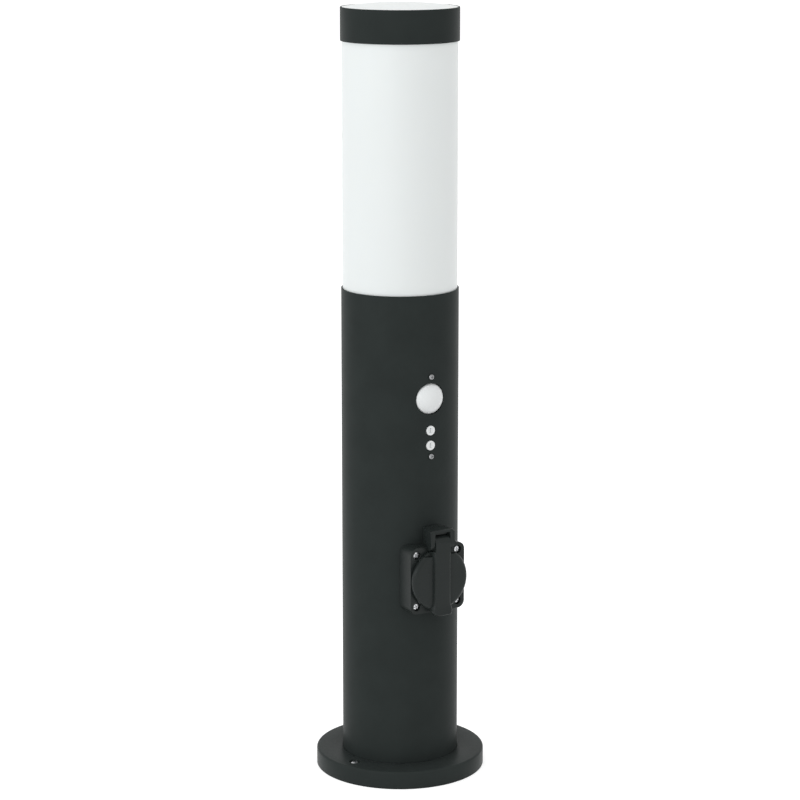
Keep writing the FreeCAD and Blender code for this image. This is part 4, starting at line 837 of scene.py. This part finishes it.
@dataclass
class Housing:
    """The outlet's housing: the saddle plate, the cup behind it and the hinge block over it.

    It is drawn in a front frame at its own height, with depths counted from the post's axis. The ledge is
    the floor of the slot over the lid's knuckle, as a height and a depth.
    """

    up: float = OUTLET_UP
    wide: float = 40.6
    tall: float = 44.0
    corner: float = 4.8
    back: float = 20.0
    face: float = 46.6
    face_round: float = 2.4
    saddle: float = 38.82
    saddle_span: Point = (90.0, 190.0)
    cup_radius: float = 19.1
    cup_back: float = 14.2
    cup_bite: float = 1.0
    well: float = 19.4
    well_floor: float = 18.3
    well_back: float = 16.2
    mouth: float = 2.0
    collar: Point = (17.0, 19.9)
    collar_back: float = 45.0
    collar_round: float = 0.3
    rim: float = 47.6
    hinge: Point = (24.2, 48.6)
    pin_radius: float = 1.25
    pin_reach: float = 7.0
    pin_play: Point = (0.02, 0.05)
    cheek: float = 8.9
    cheek_taper: float = 3.0
    cheek_round: float = 4.3
    cheek_edge: float = 1.1
    cheek_back: float = 35.0
    taper_end: float = 38.0
    nose_round: float = 1.6
    bay: float = 5.7
    bay_low: float = 5.3
    bay_step: float = 3.5
    bay_back: float = 43.0
    lip_under: float = 31.7
    lip_top: float = 33.4
    ledge: Point = (29.9, 50.0)
    screw_at: Point = (15.4, 17.1)
    screw_hole: float = 1.55
    screw_sink: float = 2.7
    screw_seat: float = 43.3
    window: Point = (10.0, 18.0)
    window_round: float = 2.0
    window_off: float = 9.5
    window_span: Point = (10.0, 16.3)

    def plate(self) -> Piece:
        """Builds the saddle plate with its rounded face.

        Returns:
            The plate, before anything is joined to it.
        """
        outline = box_outline(self.wide, self.tall, self.corner, steps=10)
        shape = Shape(front(self.up)).prism(outline, self.back, self.face)
        shape.bevel(self.face_round, lambda e: all(v.co.z > self.face - NEAR for v in e.verts), 6)
        return shape.done("outlet_housing")

    def cheeks(self) -> Piece:
        """Builds the hinge block over the plate, narrower towards the tube.

        Returns:
            The block, still without its bay.
        """
        up, out = self.hinge
        bottom = up - self.cheek_round
        nose = self.cheek_round + out
        corners = [
            Corner(bottom, self.cheek_back),
            *arc((up, out), self.cheek_round, 180.0, 90.0, 10),
            Corner(self.lip_top, nose, self.nose_round, 6),
            Corner(self.lip_top, self.cheek_back),
        ]
        shape = Shape(front(self.up)).prism(rounded(corners), -1.0, 1.0, Along.X)
        for vert in shape.mesh.verts:  # from one millimetre out to the width at its depth
            vert.co.x *= self.cheek - self.cheek_taper * (nose - vert.co.z) / (nose - self.taper_end)
        shape.bevel(self.cheek_edge, on_one_side, 5)
        return shape.done("cheeks")

    def solid(self) -> Piece:
        """Builds the whole housing with its cup, bay and screw seats.

        Returns:
            The housing.
        """
        frame = front(self.up)
        made = combine(self.plate(), self.cheeks(), Join.ADD)
        drill(made, disc(self.saddle, sides=TUBE_SIDES), self.saddle_span)
        round_cup = disc(self.cup_radius, sides=WELL_SIDES)
        cup = Shape(frame).prism(round_cup, self.cup_back, self.face - self.cup_bite)
        combine(made, cup.done("cup"), Join.ADD)
        inner, outer = self.collar
        corners = [
            Corner(inner, self.collar_back),
            Corner(outer, self.collar_back),
            Corner(outer, self.rim, self.collar_round, 3),
            Corner(inner, self.rim),
        ]
        combine(made, Shape(frame).turn(rounded(corners), sides=WELL_SIDES).done("collar"), Join.ADD)
        well = [
            (0.0, self.well_back),
            (self.well_floor, self.well_back),
            (self.well_floor, self.saddle),
            (self.well, self.rim - self.mouth),
            (self.well, self.rim + self.mouth),
            (0.0, self.rim + self.mouth),
        ]
        combine(made, Shape(frame).turn(well, sides=WELL_SIDES).done("well"), Join.CUT)
        up = self.hinge[0]
        bay = [
            (up - self.bay_low, LID_BACK),
            (up - self.bay_step, LID_BACK),
            (up - self.bay_step, self.bay_back),
            (self.ledge[0], self.bay_back),
            self.ledge,
            (self.lip_under, self.ledge[1]),
            (self.lip_under, BEYOND),
            (up - self.bay_low, BEYOND),
        ]
        drill(made, bay, (-self.bay, self.bay), frame, Along.X)
        wider, longer = self.pin_play
        reach = self.pin_reach + longer
        bore = disc(self.pin_radius + wider, self.hinge, sides=HOLE_SIDES)
        drill(made, bore, (-reach, reach), frame, Along.X)
        for x in (-1, 1):
            for y in (-1, 1):
                spot = (x * self.screw_at[0], y * self.screw_at[1])
                drill(made, disc(self.screw_hole, spot, sides=HOLE_SIDES), (self.back, BEYOND), frame)
                drill(made, disc(self.screw_sink, spot, sides=40), (self.screw_seat, BEYOND), frame)
            window = box_outline(*self.window, self.window_round, (x * self.window_off, 0.0))
            drill(made, window, self.window_span, frame)
        return made


@dataclass
class Lid:
    """The outlet's lid: a bevelled disc with a bar down its middle, a knuckle and a thumb tab.

    It is drawn in the housing's frame. The bevel has a width and a fall. The flat and the trim cut the disc
    off over a height, each from a depth on. The bar spreads from a height over the tab over a length. It
    has sections at set heights, at steps under its top end and closer where the tab bends.
    """

    radius: float = 20.4
    back: float = LID_BACK
    face: float = 51.3
    bevel: Point = (3.0, 2.4)
    flank_in: float = 0.4
    flank_gap: float = 0.15
    flank_round: float = 0.1
    boss_radius: float = 18.48
    boss_deep: float = 1.6
    flat: Point = (16.2, 49.2)
    trim: Point = (19.4, 40.0)
    trim_slab: Point = (60.0, 20.0)
    bore: float = 1.31
    bore_reach: float = 20.0
    spring_room: float = 3.45
    spring_half: float = 2.8
    spring_back: float = 44.0
    spring_mouth: Point = (7.0, 47.0)
    knuckle_round: float = 3.2
    knuckle_step: float = 0.05
    knuckle_lap: float = 1.0
    knuckle_edge: float = 0.7
    bar: float = 5.5
    bar_face: float = 53.9
    bar_back: float = 48.9
    bar_round: float = 1.5
    bar_foot: float = 1.6
    bar_foot_round: float = 0.3
    bar_end_round: float = 0.25
    bar_sections: tuple[float, ...] = (10.0, 0.0, -10.0, -14.0)
    end_sections: tuple[float, ...] = (0.0, 0.1, 0.3)
    bend_sections: int = 9
    bend_step: float = 0.5
    tab: float = 6.8
    tab_start: float = -16.0
    tab_end: float = -23.1
    tab_flare: float = 1.0
    tab_thick: float = 2.6
    tab_spread: Point = (1.5, 6.0)
    tab_rise: float = 1.3
    tab_corner: float = 3.0
    tab_edge: float = 0.9
    tab_under: float = 0.6

    def solid(self, housing: Housing) -> Piece:
        """Builds the lid with its bar, knuckle and thumb tab.

        Args:
            housing: the housing that it closes and hangs on.

        Returns:
            The closed lid.
        """
        frame = front(housing.up)
        wide, fall = self.bevel
        flank = housing.rim + self.flank_gap
        corners = [
            Corner(0.0, self.back - self.boss_deep),
            Corner(self.boss_radius, self.back - self.boss_deep),
            Corner(self.boss_radius, self.back),
            Corner(self.radius - self.flank_in, self.back),
            Corner(self.radius - self.flank_in, flank),
            Corner(self.radius, flank, self.flank_round, 2),
            *(
                Corner(self.radius - wide * (1 - math.cos(t)), self.face - fall * (1 - math.sin(t)))
                for t in angles(0.0, 90.0, 15)
            ),
            Corner(0.0, self.face),
        ]
        made = Shape(frame).turn(rounded(corners), sides=160).done("outlet_lid")
        for low_up, low_out in (self.flat, self.trim):
            beyond = box_outline(*self.trim_slab, centre=(0.0, low_up + self.trim_slab[1] / 2))
            drill(made, beyond, (low_out, BEYOND), frame)
        combine(made, self.bar_shape(frame), Join.ADD)
        combine(made, self.knuckle(housing.hinge, frame), Join.ADD)
        up, out = housing.hinge
        room = self.spring_room
        mouth_up, mouth_out = self.spring_mouth
        spring_bay = [
            *arc(housing.hinge, room, 90.0, 180.0, 8),
            Corner(up - room, self.spring_back),
            Corner(up + mouth_up, self.spring_back),
            Corner(up + mouth_up, mouth_out),
            Corner(up + room, out),
        ]
        drill(made, [(c.x, c.y) for c in spring_bay], (-self.spring_half, self.spring_half), frame, Along.X)
        bore = disc(self.bore, housing.hinge, sides=HOLE_SIDES)
        return drill(made, bore, (-self.bore_reach, self.bore_reach), frame, Along.X)

    def knuckle(self, hinge: Point, frame: Matrix) -> Piece:
        """Builds the knuckle round the pin, from its side outline.

        Args:
            hinge: the pin's height and depth.
            frame: the housing's frame.

        Returns:
            The knuckle, without its bore.
        """
        up, out = hinge
        top = self.bar_face - self.knuckle_step - out
        start = self.trim[0] - self.knuckle_lap
        corners = [
            Corner(start, self.bar_back),
            Corner(up - self.knuckle_round, self.bar_back),
            *arc(hinge, self.knuckle_round, 180.0, 270.0, 6),
            *arc(hinge, top, 0.0, 90.0, 10),
            Corner(start, out + top),
        ]
        shape = Shape(frame).prism(rounded(corners), -self.bar, self.bar, Along.X)
        shape.bevel(self.knuckle_edge, on_one_side, 4)
        return shape.done("knuckle")

    def stations(self) -> list[float]:
        """Works out where the bar has sections.

        Returns:
            The sections' heights, from the bar's top down.
        """
        heights = {*self.bar_sections, *(self.trim[0] - step for step in self.end_sections)}
        heights.update(self.tab_start - self.bend_step * k for k in range(self.bend_sections))
        heights.update(self.tab_end + self.tab_corner * (1 - math.sin(t)) for t in angles(0.0, 90.0, 15))
        return sorted(heights, reverse=True)

    def bar_shape(self, frame: Matrix) -> Piece:
        """Builds the bar down the middle of the lid with its flared thumb tab, section by section.

        Args:
            frame: the housing's frame.

        Returns:
            The bar with its tab.
        """
        tab_long = self.tab_start - self.tab_end
        bend = (tab_long**2 + self.tab_flare**2) / (self.tab_flare * 2)
        under = self.bar_face + self.tab_flare - self.tab_thick
        spread_up, spread_long = self.tab_spread
        rings = []
        for y in self.stations():
            past = max(0.0, self.tab_start - y)
            left = y - self.tab_end
            blend = min(1.0, max(0.0, (self.tab_start + spread_up - y) / spread_long))
            half = self.bar + (self.tab - self.bar) * blend * blend * (3 - 2 * blend)
            half -= eased(left, self.tab_corner)
            high = self.bar_face + bend - math.sqrt(bend * bend - past * past)
            high -= eased(left, self.tab_edge) + eased(self.trim[0] - y, self.bar_end_round)
            rise = min(1.0, max(0.0, (self.tab_start - self.tab_rise - y) / (tab_long - self.tab_rise)))
            low = self.bar_back + (under - self.bar_back) * rise + eased(left, self.tab_under)
            foot = half + self.bar_foot * (1.0 - rise)
            corners = [Corner(x, low, self.bar_foot_round, 2) for x in (-foot, foot)]
            corners += [Corner(x, high, self.bar_round, 6) for x in (half, -half)]
            rings.append([(x, y, z) for x, z in rounded(corners)])
        return Shape(frame).loft(rings).done("bar")


@dataclass
class Outlet:
    """The outlet: its housing, lid, screws and hinge pin.

    Each screw's recess is turned by the sum of two angles in degrees, of its column and of its row.
    """

    housing: Housing = field(default_factory=Housing)
    lid: Lid = field(default_factory=Lid)
    screw: PanScrew = field(default_factory=lambda: PanScrew(5.2, 1.7, 2.9, 15.0))
    column_spins: tuple[Point, ...] = ((-1, 15.0), (1, 50.0))
    row_spins: tuple[Point, ...] = ((-1, 0.0), (1, 33.0))

    def build(self) -> None:
        """Makes the outlet's pieces that show."""
        base = self.housing
        frame = front(base.up)
        show(base.solid(), Body.POST, "black_plastic", ["socket_housing"])
        show(self.lid.solid(base), Body.LID, "black_plastic", ["socket_lid"])
        seats = []
        for x, spin in self.column_spins:
            for y, more in self.row_spins:
                place = (x * base.screw_at[0], y * base.screw_at[1], base.screw_seat)
                seats.append(frame @ Matrix.Translation(place) @ spun(spin + more))
        show(self.screw.group("outlet_screws", seats), Body.POST, "zinc_steel", ["socket_screws"])
        pin = disc(base.pin_radius, base.hinge, sides=32)
        shape = Shape(frame).prism(pin, -base.pin_reach, base.pin_reach, Along.X)
        show(shape.done("lid_pin"), Body.POST, "zinc_steel", ["hinge_pin"])


@dataclass
class Sensor:
    """The lens, the two trim knobs and the two case screws on the front of the tube.

    Depths are counted from the post's axis. The flange, the stem and the collar are a radius and the depth
    of their back, the dimple its radius at the face and at its floor, and the slot its width and length.
    """

    lens_radius: float = 9.95
    lens_rim: float = 36.4
    lens_out: float = 42.1
    flange: Point = (11.2, 32.18)
    flange_thick: float = 1.2
    wall: float = 0.8
    knob_radius: float = 3.18
    knob_out: float = 38.1
    knob_edge: float = 0.35
    stem: Point = (1.5, 30.7)
    collar: Point = (4.0, 32.3)
    collar_thick: float = 1.0
    dimple: Point = (1.75, 1.65)
    dimple_deep: float = 0.5
    dimple_edge: float = 0.12
    slot: Point = (0.8, 3.2)
    slot_deep: float = 1.3
    slot_end: float = 45.0
    screw_seat: float = 38.02
    screw: PanScrew = field(default_factory=lambda: PanScrew(3.6, 1.4, 2.4, 9.0))

    def lens(self) -> Piece:
        """Builds the domed lens as a thin shell with its flange.

        Returns:
            The lens.
        """
        rise = self.lens_out - self.lens_rim
        r = self.lens_radius
        dome = (r * r + rise * rise) / (rise * 2)
        spread = math.degrees(math.asin(r / dome))
        outside = arc((0.0, self.lens_out - dome), dome, 90.0 - spread, 90.0, 14)
        inner = r - self.wall
        inner_rise = rise - self.wall / 2
        bowl = (inner * inner + inner_rise * inner_rise) / (inner_rise * 2)
        inner_spread = math.degrees(math.asin(inner / bowl))
        inside = arc((0.0, self.lens_out - self.wall - bowl), bowl, 90.0, 90.0 - inner_spread, 10)
        flange_r, back = self.flange
        flange_face = back + self.flange_thick
        corners = [
            Corner(inner, back),
            Corner(flange_r, back),
            Corner(flange_r, flange_face),
            Corner(r, flange_face),
            *outside,
            *inside,
        ]
        return Shape(front(LENS_UP)).turn(rounded(corners), sides=96).done("lens")

    def knob(self, name: str, up: float) -> Piece:
        """Builds one knob with its dimple and slot.

        Args:
            name: the object's name.
            up: the height of its axis.

        Returns:
            The knob.
        """
        frame = front(up)
        stem_r, stem_back = self.stem
        collar_r, collar_back = self.collar
        collar_face = collar_back + self.collar_thick
        mouth, floor = self.dimple
        corners = [
            Corner(0.0, stem_back),
            Corner(stem_r, stem_back),
            Corner(stem_r, collar_back),
            Corner(collar_r, collar_back),
            Corner(collar_r, collar_face),
            Corner(self.knob_radius, collar_face),
            Corner(self.knob_radius, self.knob_out, self.knob_edge, 4),
            Corner(mouth, self.knob_out, self.dimple_edge, 2),
            Corner(floor, self.knob_out - self.dimple_deep),
            Corner(0.0, self.knob_out - self.dimple_deep),
        ]
        made = Shape(frame).turn(rounded(corners), sides=48).done(name)
        return drill(made, box_outline(*self.slot), (self.knob_out - self.slot_deep, self.slot_end), frame)

    def build(self) -> None:
        """Makes the sensor's pieces that show."""
        show(self.lens(), Body.POST, "white_plastic", ["sensor_lens"])
        show(self.knob("time_dial", TIME_KNOB_UP), Body.TIME_KNOB, "white_plastic", ["time_knob"])
        show(self.knob("lux_dial", LUX_KNOB_UP), Body.LUX_KNOB, "white_plastic", ["lux_knob"])
        seat = Matrix.Translation((0.0, 0.0, self.screw_seat))
        seats = [front(up) @ seat for up in (LOW_SCREW_UP, TOP_SCREW_UP)]
        show(self.screw.group("case_screws", seats), Body.POST, "zinc_steel", ["sensor_screws"], SHADED_STEEL)


@dataclass
class Head:
    """The opal cup and the metal band round its top.

    The crown is the rise of the cup's top, and its power says how flat the middle is. The lip is the
    radius of the band's inner edge and how thick the band is there.
    """

    cup_radius: float = 37.0
    cup_wall: float = 2.0
    cup_edge: float = 0.4
    low: float = 300.1
    top: float = 500.9
    crown: float = 2.6
    crown_power: float = 2.2
    crown_wall: float = 2.2
    crown_gap: float = 0.1
    band_radius: float = 38.05
    band_tall: float = 21.2
    band_gap: float = 0.1
    band_low_edge: float = 0.2
    band_top_edge: float = 0.4
    lip: Point = (36.95, 0.15)
    lip_gap: float = 0.02
    lip_edge: float = 0.06

    def cup(self) -> Piece:
        """Builds the cup with its domed top.

        Returns:
            The cup.
        """
        inner = self.cup_radius - self.cup_wall
        lip_r, lip_tall = self.lip
        shoulder = self.top - lip_tall
        edge = lip_r - self.crown_gap
        shares = [math.cos(t) for t in angles(0.0, 90.0, 20)]
        outside = [Corner(edge * s, shoulder + self.crown * (1.0 - s**self.crown_power)) for s in shares]
        inside = [Corner(p.x * inner / edge, p.y - self.crown_wall) for p in reversed(outside)]
        corners = [
            Corner(inner, self.low),
            Corner(self.cup_radius, self.low, self.cup_edge, 3),
            Corner(self.cup_radius, shoulder),
            *outside,
            *inside,
        ]
        return Shape().turn(rounded(corners), sides=TUBE_SIDES).done("cup")

    def band(self) -> Piece:
        """Builds the band with its narrow lip over the cup's shoulder.

        Returns:
            The band.
        """
        lip_r, lip_tall = self.lip
        inner = self.cup_radius + self.band_gap
        bottom = self.top - self.band_tall
        under_lip = self.top - lip_tall + self.lip_gap
        corners = [
            Corner(inner, bottom, self.band_low_edge, 2),
            Corner(self.band_radius, bottom, self.band_low_edge, 3),
            Corner(self.band_radius, self.top, self.band_top_edge, 5),
            Corner(lip_r, self.top, self.lip_edge, 2),
            Corner(lip_r, under_lip),
            Corner(inner, under_lip),
        ]
        return Shape().turn(rounded(corners), sides=TUBE_SIDES).done("band")

    def build(self) -> None:
        """Makes the cup and its band."""
        show(self.cup(), Body.HEAD, "opal_plastic", ["opal_cup"])
        show(self.band(), Body.HEAD, "anthracite_metal", ["cap_band"])


@dataclass
class Insides:
    """The pieces that keep their solids, which are the ones inside the tube, the foot and the outlet."""

    frame: dict

    def build(self) -> None:
        """Gives each solid that still shows the finish of its material slot."""
        slots = {row["node"]: row["material_slot"] for row in self.frame["record"]["subparts"]}
        for name, piece in self.frame["nodes"].items():
            if piece.hide_render:
                continue
            smooth(piece, SOLID_CREASE)
            piece.data.materials.clear()
            piece.data.materials.append(SLOT_FINISH[slots[name]].material())
            LOG.info("solid %s keeps its shape", name)


@dataclass(frozen=True)
class Lamp:
    """A soft square lamp, with its place and side in metres and its power in watts."""

    name: str
    place: Triple
    side: float
    watts: float
    tint: Triple = WHITE


@dataclass
class Studio:
    """A plain white floor, soft lamps and the photograph's camera, in metres."""

    eye: Triple = (-0.8678, -1.4273, 0.605)
    aim: Triple = (0.0, 0.0, 0.247)
    lens: float = 118.1
    sensor: float = 36.0
    clip: Point = (0.05, 100.0)
    ambient: float = 0.81
    floor_reach: float = 30.0
    floor_tone: float = 0.86
    floor_roughness: float = 0.9
    floor_specular: float = 0.1
    floor_glow: float = 0.5
    lamps: tuple[Lamp, ...] = (
        Lamp("key", (-2.2, 0.3, 0.9), 0.9, 6.1, (0.9, 0.97, 1.0)),
        Lamp("front", (-1.65, -1.0, 0.7), 0.45, 3.6),
        Lamp("top", (-0.3, -0.3, 2.3), 0.9, 4.0),
    )

    def stand(self, name: str, data: bpy.types.ID, place: Triple) -> Piece:
        """Stands a lamp or a camera at a place, facing the aim.

        Args:
            name: the object's name.
            data: the lamp or the camera.
            place: where it stands, in metres.

        Returns:
            The object.
        """
        made = placed(name, data)
        made.location = place
        made.rotation_euler = (Vector(self.aim) - Vector(place)).to_track_quat("-Z", "Y").to_euler()
        return made

    def light(self, lamp: Lamp) -> None:
        """Adds a soft lamp.

        Args:
            lamp: the lamp's place, side, power and tint.
        """
        data = bpy.data.lights.new(lamp.name, "AREA")
        data.size = lamp.side
        data.energy = lamp.watts
        data.color = lamp.tint
        self.stand(lamp.name, data, lamp.place)

    def seen(self, tree: bpy.types.NodeTree) -> Socket:
        """Tells the rays that show the background: those of the camera, of gloss and through glass.

        Args:
            tree: the nodes that use the answer.

        Returns:
            1 for such a ray and 0 for any other.
        """
        path = tree.nodes.new("ShaderNodeLightPath")
        value = path.outputs["Is Camera Ray"]
        for ray in ("Is Transmission Ray", "Is Glossy Ray"):
            either = tree.nodes.new("ShaderNodeMath")
            either.operation = "MAXIMUM"
            tree.links.new(value, either.inputs[0])
            tree.links.new(path.outputs[ray], either.inputs[1])
            value = either.outputs[0]
        return value

    def world(self) -> None:
        """Lights the scene evenly and shows as white behind it."""
        world = bpy.data.worlds.new("studio")
        world.use_nodes = True
        bpy.context.scene.world = world
        tree = world.node_tree
        glow = next(n for n in tree.nodes if n.type == "BACKGROUND")
        level = tree.nodes.new("ShaderNodeMapRange")
        fill(level, {"To Min": self.ambient, "To Max": 1.0})
        tree.links.new(self.seen(tree), level.inputs["Value"])
        tree.links.new(level.outputs["Result"], glow.inputs["Strength"])
        fill(glow, {"Color": (*WHITE, 1.0)})

    def floor(self) -> None:
        """Lays the pale floor, which keeps the light's soft shadow."""
        data = bpy.data.meshes.new("floor")
        corners = box_outline(2 * self.floor_reach, 2 * self.floor_reach)
        data.from_pydata([(x, y, 0.0) for x, y in corners], [], [(0, 1, 2, 3)])
        made = placed("floor", data)
        material = bpy.data.materials.new("floor_white")
        material.use_nodes = True
        tree = material.node_tree
        shader = next(n for n in tree.nodes if n.type == "BSDF_PRINCIPLED")
        fill(shader, {"Base Color": (*[self.floor_tone] * 3, 1.0), "Emission Color": (*WHITE, 1.0)})
        fill(shader, {"Roughness": self.floor_roughness, "Specular IOR Level": self.floor_specular})
        level = tree.nodes.new("ShaderNodeMath")
        level.operation = "MULTIPLY"
        level.inputs[1].default_value = self.floor_glow
        tree.links.new(self.seen(tree), level.inputs[0])
        tree.links.new(level.outputs[0], shader.inputs["Emission Strength"])
        data.materials.append(material)

    def camera(self) -> None:
        """Sets the camera where the photograph was taken from."""
        data = bpy.data.cameras.new("photo")
        data.sensor_width = self.sensor
        data.lens = self.lens
        data.clip_start, data.clip_end = self.clip
        bpy.context.scene.camera = self.stand("photo", data, self.eye)

    def build(self) -> None:
        """Makes the whole studio."""
        self.world()
        self.floor()
        for lamp in self.lamps:
            self.light(lamp)
        self.camera()
        bpy.context.scene.view_settings.view_transform = "Standard"


def main() -> None:
    """Builds everything in order."""
    logging.basicConfig(level=logging.INFO, format="%(name)s: %(message)s")
    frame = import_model()
    for part in (Foot(), Post(), Outlet(), Sensor(), Head(), Insides(frame), Studio()):
        part.build()
        LOG.info("%s is done", type(part).__name__)


if __name__ == "__main__":
    main()
